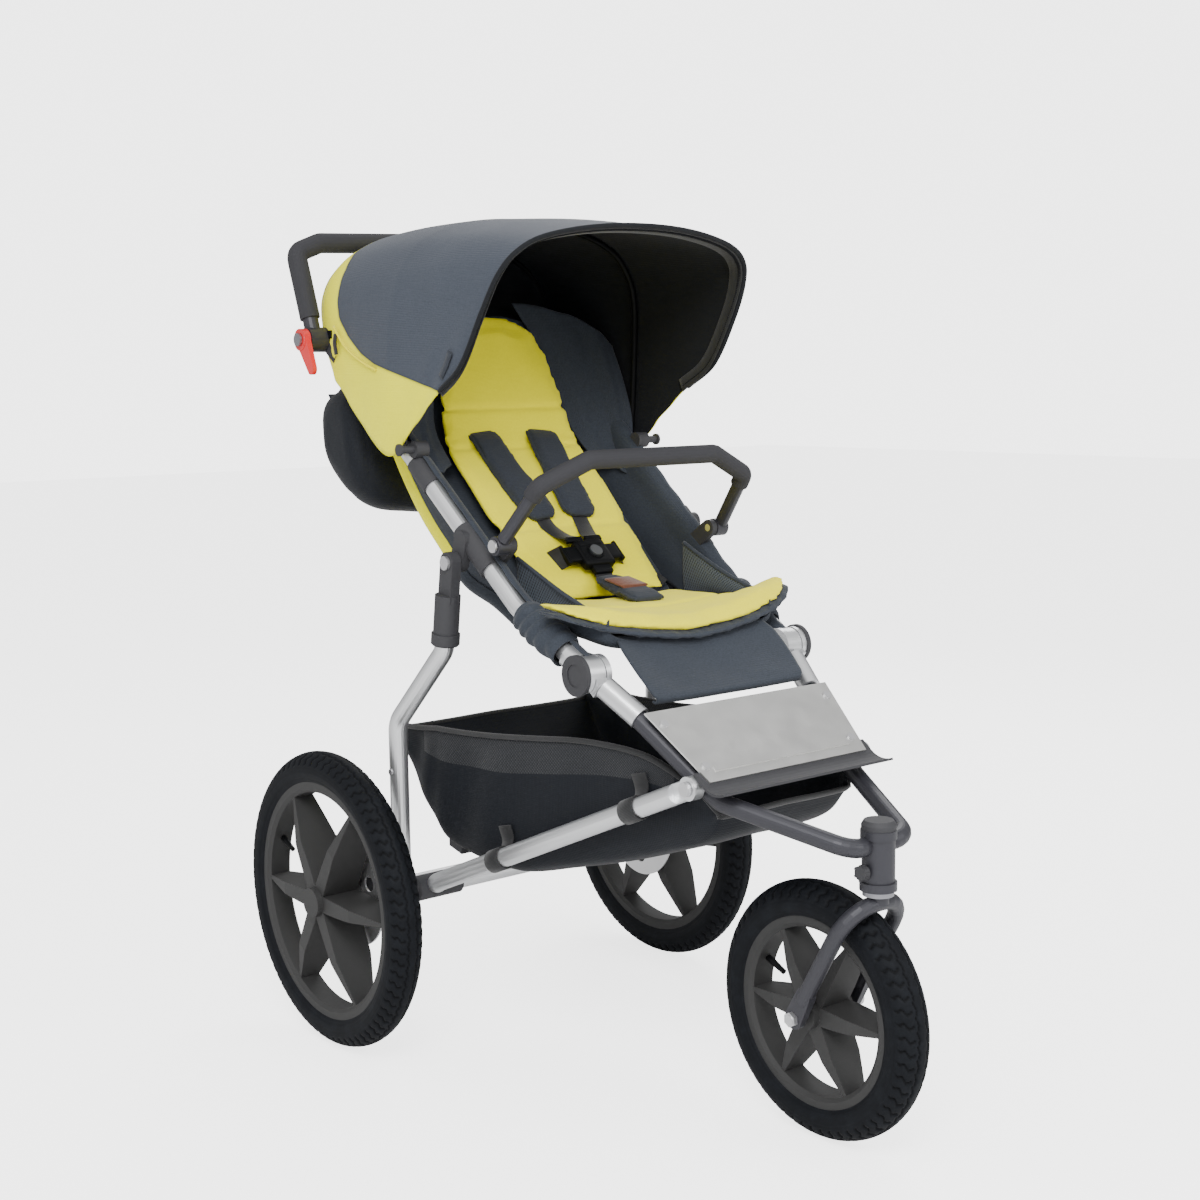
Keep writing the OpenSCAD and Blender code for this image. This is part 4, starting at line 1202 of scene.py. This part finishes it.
# %% Mesh pockets
def mesh_pocket(side_name, side):
    """A shallow mesh pocket sewn on the side cloth: its mouth slopes from the bar's foot to the bib."""
    mouth = [(-232, 672), (-272, 655), (-320, 636), (-365, 622), (-392, 614)]
    ribs = []
    for k, (y, z) in enumerate(mouth):
        bulge = 7 * math.sin(math.pi * (k + 0.4) / 4.8)
        wall = 144 - (z - 600) * 0.02
        ribs.append([P(side * (wall - bulge * 0.5), y, z), P(side * (wall - bulge), y, 0.62 * z + 0.38 * 604),
                     P(side * (wall - bulge * 0.9), y, 0.28 * z + 0.72 * 604), P(side * wall, y, 604)])
    piece = loft("mesh_pocket_" + side_name, ribs, 26, 40, [pocket_mesh])
    mouth_line = even(curve([r[0] for r in ribs], 60), 50)
    hem = tube("pocket_hem_" + side_name, mouth_line, 0.0028, [slate_cloth], 8, flat=0.5)
    flip_if(piece, Vector((-side, 0, 0)))
    piece = thicken(piece, 0.001)
    for made in (piece, hem):
        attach(made, "side_frame")
    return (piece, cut_area(ribs))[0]


for side_name, side in SIDES.items():
    side_cloth(side_name, side)
    tube_sleeve(side_name, side)
    mesh_pocket(side_name, side)
print("side cloths, sleeves and pockets")

# %% [markdown]
# ## The hull behind the seat
# A seat hull closes the back: grey at the sides, lime along the rear. It hangs from the side
# panels and goes with the backrest; each half is fixed in place here.

# %% Rear hull
def hull_half(side_name, side):
    ribs = []
    for k in range(3, len(HULL_LOW)):
        y, z = HULL_LOW[k]
        s = (k - 3) / (len(HULL_LOW) - 4)
        back_y = 12 * math.sin(math.pi * min(1, s * 1.1))
        ribs.append([P(side * 149, y - 10, z + 9), P(side * 151, y + 2, z - 1), P(side * 143, y + 10, z - 8),
                     P(side * 118, y + 12 + back_y * 0.5, z - 10), P(side * 70, y + 12 + back_y, z - 10),
                     P(0, y + 12 + back_y, z - 10)])
    piece = loft("rear_hull_" + side_name, ribs, 45, 91, [hull_cloth])
    for v in piece.data.vertices:
        x, z = abs(v.co.x) * 1000, v.co.z * 1000
        v.co.y += 1.6 * math.sin(z / 19 + x / 40) * smooth_step((148 - x) / 30) * smooth_step(x / 25) / 1000
    mark_seam(piece, lambda co: min(co.z * 1000 - 664,
                                    152 - abs(co.x) * 1000 + (co.z * 1000 - 640) * 0.02 + 3))
    flip_if(piece, Vector((0, 1, -0.5)))
    piece = thicken(piece, 0.0016, lining_cloth)
    cut_area(ribs)
    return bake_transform(piece)


for side_name, side in SIDES.items():
    hull_half(side_name, side)

print("two hull halves")

# %% [markdown]
# ## Seat floor
# Under the liner a sling of the same cloth is stretched between the side panels.

# %% Seat floor
def seat_floor():
    ribs = []
    for y, z, w in ((-240, 592, 146), (-300, 584, 147), (-350, 580, 146), (-396, 574, 140), (-408, 584, 134)):
        half = [P(-w, y, z + 26), P(-w + 3, y, z + 8), P(-w * 0.7, y, z - 3)]
        ribs.append([*half, P(0, y, z - 6), *[Vector((-p.x, p.y, p.z)) for p in reversed(half)]])
    piece = loft("seat_floor", ribs, 71, 41, [slate_cloth])
    flip_if(piece, Vector((0, 0, -1)))
    piece = thicken(piece, 0.002, offset=1)
    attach(piece, "side_frame")
    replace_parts(piece, "seat_base")
    return piece


seat_floor()

print("seat floor")

# %% [markdown]
# ## Backrest shell
# A stiff board in a cloth cover backs the liner and gives the harness something to pull on.

# %% Backrest shell
def backrest_shell():
    def front(u, v):
        p, n = back_front(u, v)
        half = 0.134 * min(1.0, (between(BACK_WIDTH, v) + 26) / 134)
        return Vector((u * half, p.y, p.z)) - n * 0.024, n
    piece = shell("backrest_shell", front, 0.010, 31, 61, [slate_cloth])
    press(piece, lambda co: 0.8 * math.sin(co.x * 150) * math.sin(co.z * 60))
    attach(piece, "seat_back")
    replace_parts(piece, "seat_back")
    return piece


backrest_shell()

print("backrest shell")

# %% [markdown]
# ## Wing cloths
# They run from the tube on one side to the backrest on the other, and are fixed in place.

# %% Wing cloths
def wing_cloth(side_name, side, across=41, along=61):
    """Loose cloth between the backrest's edge, the side tube and the canopy."""
    ribs = [[(52, 34, 1006), (112, 30, 1000), (176, 2, 972), (200, -12, 944)],
            [(84, 20, 946), (132, 8, 940), (180, -18, 916), (203, -34, 892)],
            [(104, 6, 884), (142, -10, 876), (182, -36, 858), (200, -56, 838)],
            [(116, -14, 830), (146, -34, 821), (172, -54, 800), (188, -70, 784)],
            [(122, -60, 784), (146, -72, 775), (164, -84, 762), (180, -92, 752)]]
    ribs = [[P(side * x, y, z) for x, y, z in r] for r in ribs]
    piece = loft("wing_cloth_" + side_name, ribs, across, along, [slate_cloth])
    for i in range(along):
        for j in range(across):
            s, t = i / (along - 1), j / (across - 1)
            pleat = 3.4 * math.sin(15 * t + 1.5 * s) + 1.6 * math.sin(27 * t - 3 * s)
            v = piece.data.vertices[i * across + j]
            v.co += Vector((0, 0.8, 0.6)) * pleat * math.sin(math.pi * t) / 1000
    flip_if(piece, Vector((-side * 0.5, -1, 0.5)))
    piece = thicken(piece, 0.0014)
    cut_area(ribs)
    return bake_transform(piece)


for side_name, side in SIDES.items():
    wing_cloth(side_name, side)
print("two wing cloths")

# %% [markdown]
# ## Leg panel
# A sheet of the same grey cloth runs from under the bib down to the top of the footplate, where
# its hem turns under. It crosses the fold hub and is fixed in place.

# %% Leg panel
def leg_cloth():
    rows = [[(-119, -402, 588), (-60, -403, 585), (0, -403, 584)],
            [(-127, -424, 573), (-64, -421, 568), (0, -420, 567)],
            [(-128, -452, 549), (-64, -447, 544), (0, -445, 543)],
            [(-125, -474, 529), (-62, -472, 527), (0, -471, 526)],
            [(-121, -480, 521), (-60, -480, 520), (0, -480, 520)],
            [(-121, -477, 514), (-60, -477, 513), (0, -477, 513)],
            [(-121, -470, 515), (-60, -470, 515), (0, -470, 515)]]
    ribs = [mirror_rib(r) for r in rows]
    piece = loft("leg_cloth", ribs, 71, 61, [slate_cloth])
    for v in piece.data.vertices:
        x, y = v.co.x * 1000, (v.co.y - axle_y) * 1000
        crease = 0.9 * math.sin(x / 15 + y / 30) + 0.7 * math.sin(x / 37)
        v.co += OFF * crease * smooth_step((y + 478) / 12) / 1000
    flip_if(piece, Vector((0, -0.7, 0.7)))
    piece = thicken(piece, 0.0022)
    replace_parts(piece, "leg_panel")
    cut_area(ribs)
    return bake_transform(piece)


leg_cloth()
print("leg panel")

# %% [markdown]
# ## Harness
# Five straps meet at a buckle. The shoulder straps wear stuffed sleeves stitched along the edge,
# the crotch strap has a flat pad with a small blank patch, and the rest is bare webbing. Webbing
# is modelled directly: it is flat and 25 to 32 mm wide.

# %% Pads on straps
SEAM_IN_MM = 4.0
OFF_LINER = 0.0035


def strap_pad(name, middle, half, normal, thick, body, cloth):
    """A stuffed sleeve along a line. half is its half width in millimetres along 0..1."""
    line = even(curve(middle, 100), 100)
    last = len(line) - 2

    def front(u, v):
        k = v * last
        i = min(int(k), last)
        p = line[i].lerp(line[i + 1], k - i)
        way = (line[i + 1] - line[max(i - 1, 0)]).normalized()
        side = way.cross(normal).normalized()
        out = side.cross(way).normalized()
        return p + side * u * half(v) / 1000 + out * OFF_LINER, out

    piece = shell(name, front, thick, 25, 61, [cloth], rim=0.55)
    fill_pad(piece, voxel=0.003, reach=0.003)
    way = (line[-1] - line[0]).normalized()
    side = way.cross(normal).normalized()

    def sewn(co):
        best = min(range(0, len(line), 3), key=lambda i: (line[i] - co).length_squared)
        v = best / (len(line) - 1)
        off = abs((co - line[best]).dot(side)) * 1000
        return groove(off - half(v) + SEAM_IN_MM, 1.4, 1.3)

    press(piece, sewn)
    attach(piece, body)
    return piece


print("strap pads stand", OFF_LINER * 1000, "mm off the liner")

# %% [markdown]
# ## Shoulder and crotch pads
# Each pad has its own width along its strap: narrow where it enters the liner, wide in the middle.

# %% Shoulder and crotch pads
def shoulder_pad(side_name, side):
    middle = [P(side * 52, -16, 818), P(side * 50, -32, 814), P(side * 44, -75, 772), P(side * 37, -115, 736),
              P(side * 31, -147, 707)]
    shape = [(0.0, 17), (0.06, 25), (0.3, 29), (0.75, 30), (0.93, 27), (1.0, 18)]
    piece = strap_pad("shoulder_pad_" + side_name, middle, lambda v: between(shape, v),
                      Vector((0, -0.66, 0.75)), 0.011, "seat_back", pad_cloth)
    return piece


pads = [shoulder_pad(side_name, side) for side_name, side in SIDES.items()]
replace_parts(pads[0], "shoulder_pads")
crotch = strap_pad("crotch_strap_pad", [P(0, -232, 632), P(0, -262, 625), P(0, -295, 618), P(0, -330, 611)],
                   lambda v: between([(0, 15), (0.12, 23), (0.4, 27), (0.85, 29), (1, 24)], v),
                   Vector((0, 0.1, 1)), 0.008, "side_frame", pad_cloth)
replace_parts(crotch, "crotch_pad")
patch = strap("crotch_patch", curve([P(0, -260, 636.5), P(0, -279, 633), P(0, -298, 629.5)], 9),
              Vector((1, 0, 0)), 0.042, 0.003, [brown_patch])
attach(patch, "side_frame")
print("shoulder pads and crotch pad")

# %% [markdown]
# ## Buckle
# The buckle is nylon, moulded as a body with a brow and a tongue, two prongs that plug in at its
# sides and the ladders that the shoulder straps run through. Its face leans back.

# %% Buckle
buckle_turn = math.radians(42)
BUCKLE_UP = Vector((0, -math.sin(buckle_turn), math.cos(buckle_turn)))
BUCKLE_IN = Vector((0, math.cos(buckle_turn), math.sin(buckle_turn)))
buckle_low, buckle_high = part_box("harness_buckle")
button_low, button_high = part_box("buckle_button")
button = (button_low + button_high) / 2


def on_buckle(x, y, z):
    """A point in millimetres on the buckle: x across, y up its face, z out of it from the button."""
    return button + Vector((x, 0, 0)) / 1000 + BUCKLE_IN * y / 1000 + BUCKLE_UP * z / 1000


def buckle():
    turn = (buckle_turn, 0, 0)
    parts = [moulded("body", (0.050, 0.044, 0.015), on_buckle(0, 1, -9), turn, 0.42),
             moulded("brow", (0.038, 0.010, 0.006), on_buckle(0, 17, -3.5), turn, 0.45),
             moulded("tongue", (0.030, 0.016, 0.009), on_buckle(0, -25, -10), turn, 0.4)]
    for side in (LEFT, RIGHT):
        parts.append(moulded("prong", (0.022, 0.026, 0.010), on_buckle(side * 33, 3, -10), turn, 0.4))
        parts.append(moulded("bar", (0.006, 0.032, 0.008), on_buckle(side * 45, 4, -10), turn, 0.45))
        parts.append(moulded("ladder", (0.027, 0.009, 0.007), on_buckle(side * 16, 29, -9), turn, 0.45))
    turns = [2 * math.pi * k / 48 for k in range(49)]
    ring = [on_buckle(10.6 * math.cos(a), 10.6 * math.sin(a), -1.2) for a in turns]
    parts.append(tube("bezel", ring, 0.0016, sides=8, ends=False))
    piece = join("buckle_body", parts)
    piece.data.materials.append(nylon)
    piece.data.shade_smooth()
    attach(piece, "side_frame")
    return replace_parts(piece, "harness_buckle")


buckle()
print("buckle", [round(v, 3) for v in buckle_high - buckle_low], "metres")

# %% [markdown]
# ## Webbing
# Each length is a smooth line through a few points. The shoulder straps start on the backrest
# and end on the buckle, and are fixed in place.

# %% Webbing
WEBBING_THICK = 0.0018


def harness_strap(name, points, width, body, across=Vector((1, 0, 0))):
    piece = strap(name, even(curve(points, 80), 40), across, width, WEBBING_THICK, [black_webbing])
    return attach(piece, body) if body else piece


for side_name, side in SIDES.items():
    shoulder = [P(side * 32, -138, 713), P(side * 29, -154, 698), P(side * 22, -172, 688),
                on_buckle(side * 17, 32, -8)]
    waist = [on_buckle(side * 44, 4, -9), P(side * 66, -190, 652), P(side * 88, -172, 640),
             P(side * 108, -190, 622), P(side * 116, -214, 608)]
    slit = [P(side * 52, 8, 826), P(side * 52, -6, 826), P(side * 51, -22, 819)]
    run = harness_strap("shoulder_webbing_" + side_name, shoulder, 0.025, None)
    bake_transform(run)
    harness_strap("waist_webbing_" + side_name, waist, 0.032, "side_frame", Vector((0, 0.55, 0.83)))
    harness_strap("slit_webbing_" + side_name, slit, 0.025, "seat_back")
harness_strap("crotch_webbing", [on_buckle(0, -30, -10), P(0, -236, 633), P(0, -246, 628)], 0.028,
              "side_frame")
print("webbing", WEBBING_THICK * 1000, "mm thick")

# %% [markdown]
# ## The bag's outline
# The bag behind the handlebar is a soft pouch hung by its top edge. Its sections are rounder
# and lower in the middle, where it sags, and its rear face is knitted mesh.

# %% The bag's outline
BAG_LOOP = [(96, 898), (78, 870), (66, 815), (58, 752), (72, 722), (112, 718), (158, 748), (184, 792),
            (196, 850), (182, 886), (148, 903), (118, 904)]


def bag_loop(t, grow=0.0):
    """The bag's outline at t, -1..1 across it."""
    end = max(0.0, 1 - abs(t) ** 7) ** 0.5
    middle = Vector((125, 812))
    out = []
    for k, (y, z) in enumerate(BAG_LOOP):
        p = middle + (Vector((y, z)) - middle) * (0.35 + 0.65 * end)
        low = smooth_step((820 - z) / 90)
        p.y += -7 * low * (1 - t * t) + 5 * low * t * t
        p += (p - middle).normalized() * grow
        p += (p - middle).normalized() * 1.8 * math.sin(5 * t + k) * end
        out.append(P(192 * t, p.x, p.y))
    return out


def round_loop(points, count):
    """A smooth closed loop through the points."""
    n = len(points)
    closed = [points[(k - 2) % n] for k in range(n + 5)]
    dense = curve(closed, (n + 4) * 12 + 1)[24:24 + n * 12 + 1]
    return even(dense, count + 1)[:count]


print("outline of", len(BAG_LOOP), "points")

# %% [markdown]
# ## Parent bag
# The pouch is a closed skin through its sections. Its mesh face is cut from the same outline,
# a little proud of it, and two straps hang it from the side tubes.

# %% Parent bag
def parent_bag():
    rows = [round_loop(bag_loop(math.sin(math.pi / 2 * (2 * i / 64 - 1))), 72) for i in range(65)]
    piece = skin("parent_bag_body", rows, [navy_cloth], ring=True)
    cap(piece, 72, 65)
    press(piece, lambda co: 1.4 * math.sin(co.x * 75 + co.z * 40) * math.sin(co.z * 55 + 1)
          + groove(abs(co.x) * 1000 - 172, 2.5, 1.6) + groove(co.z * 1000 - 884, 2.5, 1.8))
    piece.data.shade_smooth()
    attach(piece, "seat_back")
    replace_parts(piece, "parent_bag")
    face = []
    for i in range(41):
        t = 0.88 * (2 * i / 40 - 1)
        loop = round_loop(bag_loop(t, 1.8), 96)
        rear = [p for p in loop if p.y > P(0, 150, 0).y and 0.765 < p.z < 0.876]
        rear.sort(key=lambda p: p.z)
        face.append(even(rear, 16))
    mesh_face = skin("bag_mesh_face", face, [bag_mesh])
    flip_if(mesh_face, Vector((0, 1, 0)))
    mesh_face = thicken(mesh_face, 0.0012)
    edge = round_loop(bag_loop(-0.93, 2.0), 96)
    spot = min(edge, key=lambda p: (p - P(-178, 176, 893)).length)
    label = moulded("bag_label", (0.020, 0.0018, 0.012), spot + Vector((0.012, 0.002, 0.0005)),
                    (math.radians(-38), 0, 0), 0.3, [pad_cloth])
    for made in (mesh_face, label):
        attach(made, "seat_back")
    for side_name, side in SIDES.items():
        line = [P(side * 160, 128, 902), P(side * 166, 118, 925), P(side * 172, 104, 938),
                P(side * 176, 92, 934)]
        hang = strap("bag_loop_" + side_name, curve(line, 20), Vector((1, 0, 0)), 0.022, 0.002,
                     [black_webbing])
        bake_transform(hang)


parent_bag()
print("parent bag")

# %% [markdown]
# ## Basket
# The basket is a sagging tub of navy nylon between the lower rails: a lofted shell with soft
# sides, a bound rim and a knitted band along its upper walls. Straps tie it to the rails.

# %% Basket shell
# Each rib's place behind the axle, its rim's height, its floor's height and its half width.
BASKET = [(24, 424, 414, 172), (8, 426, 386, 174), (-30, 429, 330, 175), (-62, 431, 290, 174),
          (-92, 433, 262, 172), (-150, 437, 254, 166), (-218, 442, 252, 158), (-300, 449, 273, 149),
          (-388, 456, 298, 138), (-470, 452, 326, 128), (-545, 424, 356, 119), (-573, 402, 393, 114)]


def basket_rib(y, top, low, w):
    tall = top - low
    sag = 5 * math.sin(math.pi * (24 - y) / 600)
    return [P(-w, y, top), P(-w + 1.5, y, top - 0.3 * tall), P(-w + 1, y, top - 0.62 * tall),
            P(-w + 7, y, low + 0.13 * tall), P(-w * 0.83, y, low + 0.02 * tall),
            P(-w * 0.45, y, low - sag * 0.2), P(0, y, low + 1)]


def basket(across=97, along=131):
    last, middle = across - 1, across // 2
    ribs = []
    for y, top, low, w in BASKET:
        half = basket_rib(y, top, low, w)
        ribs.append(half + [Vector((-p.x, p.y, p.z)) for p in reversed(half[:-1])])
    piece = loft("basket_body", ribs, across, along, [navy_cloth, bag_mesh])
    for i in range(along):
        for j in range(across):
            v = piece.data.vertices[i * across + j]
            s, t = i / (along - 1), min(j, last - j) / middle
            wall = 1 - smooth_step((t - 0.62) / 0.2)
            side = -1 if j < middle else 1
            waves = 1.7 * math.sin(24 * s + 3 * t) + 1.2 * math.sin(47 * s + 7 * t + 1)
            drape = waves * wall * smooth_step(t / 0.1)
            v.co.x += side * (drape - 2.2 * wall) / 1000
            v.co.z -= 2.6 * (1 - smooth_step(t / 0.2)) * abs(math.sin(3 * math.pi * s)) / 1000
    for k, face in enumerate(piece.data.polygons):
        i, j = divmod(k, last)
        t = min(j, last - 1 - j) / middle
        face.material_index = 1 if t < 0.13 and 30 < i < 112 else 0
    flip_if(piece, Vector((0, 0, -1)))
    spots = [v.co.copy() for v in piece.data.vertices]
    left, right = spots[0::across], spots[last::across]
    front, rear = spots[-last:-1], spots[1:last]
    around = left + front + list(reversed(right)) + list(reversed(rear))
    piece = thicken(piece, 0.0018)
    hem = tube("basket_hem", even(around + [around[0]], 260), 0.0042, [black_webbing], 10, flat=0.55)
    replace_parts(piece, "basket")
    cut_area(ribs)
    for made in (piece, hem):
        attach(made, "chassis")
        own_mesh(made)


basket()

print("basket of", len(BASKET), "ribs")

# %% [markdown]
# ## Straps on the rails
# Each strap is one turn of webbing round the rail, with a loose tail up to the basket.

# %% Straps on the rails
def strap_loop(name, middle, way, radius, width, body, tail=None):
    """A strap wrapped round a tube, with its loose tail."""
    side = way.orthogonal().normalized()
    other = way.cross(side).normalized()
    turns = [2 * math.pi * k / 36 for k in range(37)]
    ring = [middle + radius * (math.cos(a) * side + math.sin(a) * other) for a in turns]
    parts = [strap(name + "_ring", ring, way, width, 0.002, [black_webbing])]
    if tail:
        loose = even(curve(tail, 40), 16)
        parts.append(strap(name + "_tail", loose, way, width * 0.9, WEBBING_THICK, [black_webbing]))
    piece = join(name, parts)
    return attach(piece, body)


def rail_at(y, side):
    """The middle of a lower rail, y millimetres behind the axle."""
    t = (y + 555) / (555 - 80)
    return P(side * (140 + 55 * t), y, 428.3 - 212.3 * t)


for side_name, side in SIDES.items():
    way = (rail_at(-100, side) - rail_at(-500, side)).normalized()
    for number, y in enumerate((-468, -230)):
        spot = rail_at(y, side)
        x, z = abs(spot.x) * 1000, spot.z * 1000
        tail = [spot + Vector((-side * 0.010, 0, 0.010)), P(side * (x - 19), y + 6, z + 22),
                P(side * (x - 17), y + 10, z + 40)]
        strap_loop(f"basket_rail_strap_{side_name}_{number}", spot, way, 0.0142, 0.026, "chassis", tail)
print("four rail straps")

# %% [markdown]
# ## Tyres
# The tyres are turned shapes with a moulded tread: a zigzag rib round the crown, slanted
# lightning cuts on the shoulders and fine rings on the walls. The tread is real geometry, cut
# inwards from the tyre's outer size, so the wheels keep their radius.

# %% Tread
TREAD_DEEP, BEAD_IN = 0.0028, 0.0425
BEAD_SHARE = 0.62  # of the tyre's half width


def zigzag(t):
    """A triangle wave: 1 at whole numbers of t, -1 halfway between them."""
    t %= 1.0
    return 4 * abs(t - 0.5) - 1


def cut_depth(turns, across, blocks):
    """How deep the tread is cut, 0..1. turns is 0..1 round the wheel, across degrees from the crown."""
    a = abs(across)
    beat = turns * blocks
    crown = math.exp(-((a - 15 - 3.2 * zigzag(beat)) / 2.0) ** 2)
    slant = (beat + 0.012 * a + 0.16 * zigzag(a / 26) + (0.5 if across > 0 else 0)) % 1.0
    belt = smooth_step((a - 22) / 5) * (1 - smooth_step((a - 66) / 8))
    shoulder = math.exp(-(min(slant, 1 - slant) / 0.1) ** 2) * belt
    rings = 0.22 * sum(math.exp(-((a - ring) / 1.6) ** 2) for ring in (80, 90, 116))
    return min(1.0, max(crown, shoulder, rings))


print("tread cut at the crown:", round(cut_depth(0, 15, 76), 2))

# %% [markdown]
# ## Making a tyre
# The tyre is a ring of sections, closed on itself, and keeps at each point how deep its tread is
# cut, so that the rubber can be painted darker there as painted shade in the grooves. Each wheel has a valve at
# the same place.

# %% Making a tyre
def tyre(node, body, blocks):
    low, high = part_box(node)
    centre = (low + high) / 2
    radius, half = (high.z - low.z) / 2, (high.x - low.x) / 2
    steps, round_steps = 60, blocks * 8
    reach = math.degrees(math.acos((half - 0.039) / half))
    rows, depths = [], []
    for i in range(round_steps):
        turn = 2 * math.pi * i / round_steps
        row = []
        for j in range(steps):
            across = reach * (2 * j / (steps - 1) - 1)
            depths.append(cut_depth(i / round_steps, across, blocks))
            r = half - TREAD_DEEP * depths[-1]
            a = math.radians(across)
            out = radius - half + r * math.cos(a)
            row.append(centre + Vector((r * math.sin(a), out * math.cos(turn), out * math.sin(turn))))
        rows.append(row)
        bead = radius - BEAD_IN
        row += [centre + Vector((s * half * BEAD_SHARE, bead * math.cos(turn), bead * math.sin(turn)))
                for s in (1, -1)]
        depths += [0.0, 0.0]
    m = len(rows[0])
    faces = []
    for i in range(round_steps):
        here, there = i * m, (i + 1) % round_steps * m
        for j in range(m):
            k = (j + 1) % m
            faces.append((here + j, here + k, there + k, there + j))
    piece = new_piece(node + "_tread", [p for row in rows for p in row], faces, [tyre_rubber])
    # The cut depth also drives the painted shade in the grooves.
    layer = piece.data.attributes.new("cut", "FLOAT", "POINT")
    layer.data.foreach_set("value", depths)
    mesh = bmesh.new()
    mesh.from_mesh(piece.data)
    bmesh.ops.recalc_face_normals(mesh, faces=mesh.faces)
    mesh.to_mesh(piece.data)
    mesh.free()
    piece.data.shade_smooth()
    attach(piece, body)
    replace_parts(piece, node)
    stem_way = Vector((0, math.cos(0.4), math.sin(0.4)))
    foot = centre + stem_way * (radius - 0.055)
    line = [foot, *[foot - stem_way * along for along in (0.010, 0.024, 0.030)]]
    stem = tube(node + "_valve", line, lambda t: 0.0042 if t < 0.5 else 0.0033, [nylon], 12)
    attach(stem, body)


tyre("rear_tyre_left", "rear_wheel_left", 76)
tyre("rear_tyre_right", "rear_wheel_right", 76)
tyre("front_tyre", "front_wheel", 58)
print("three tyres")
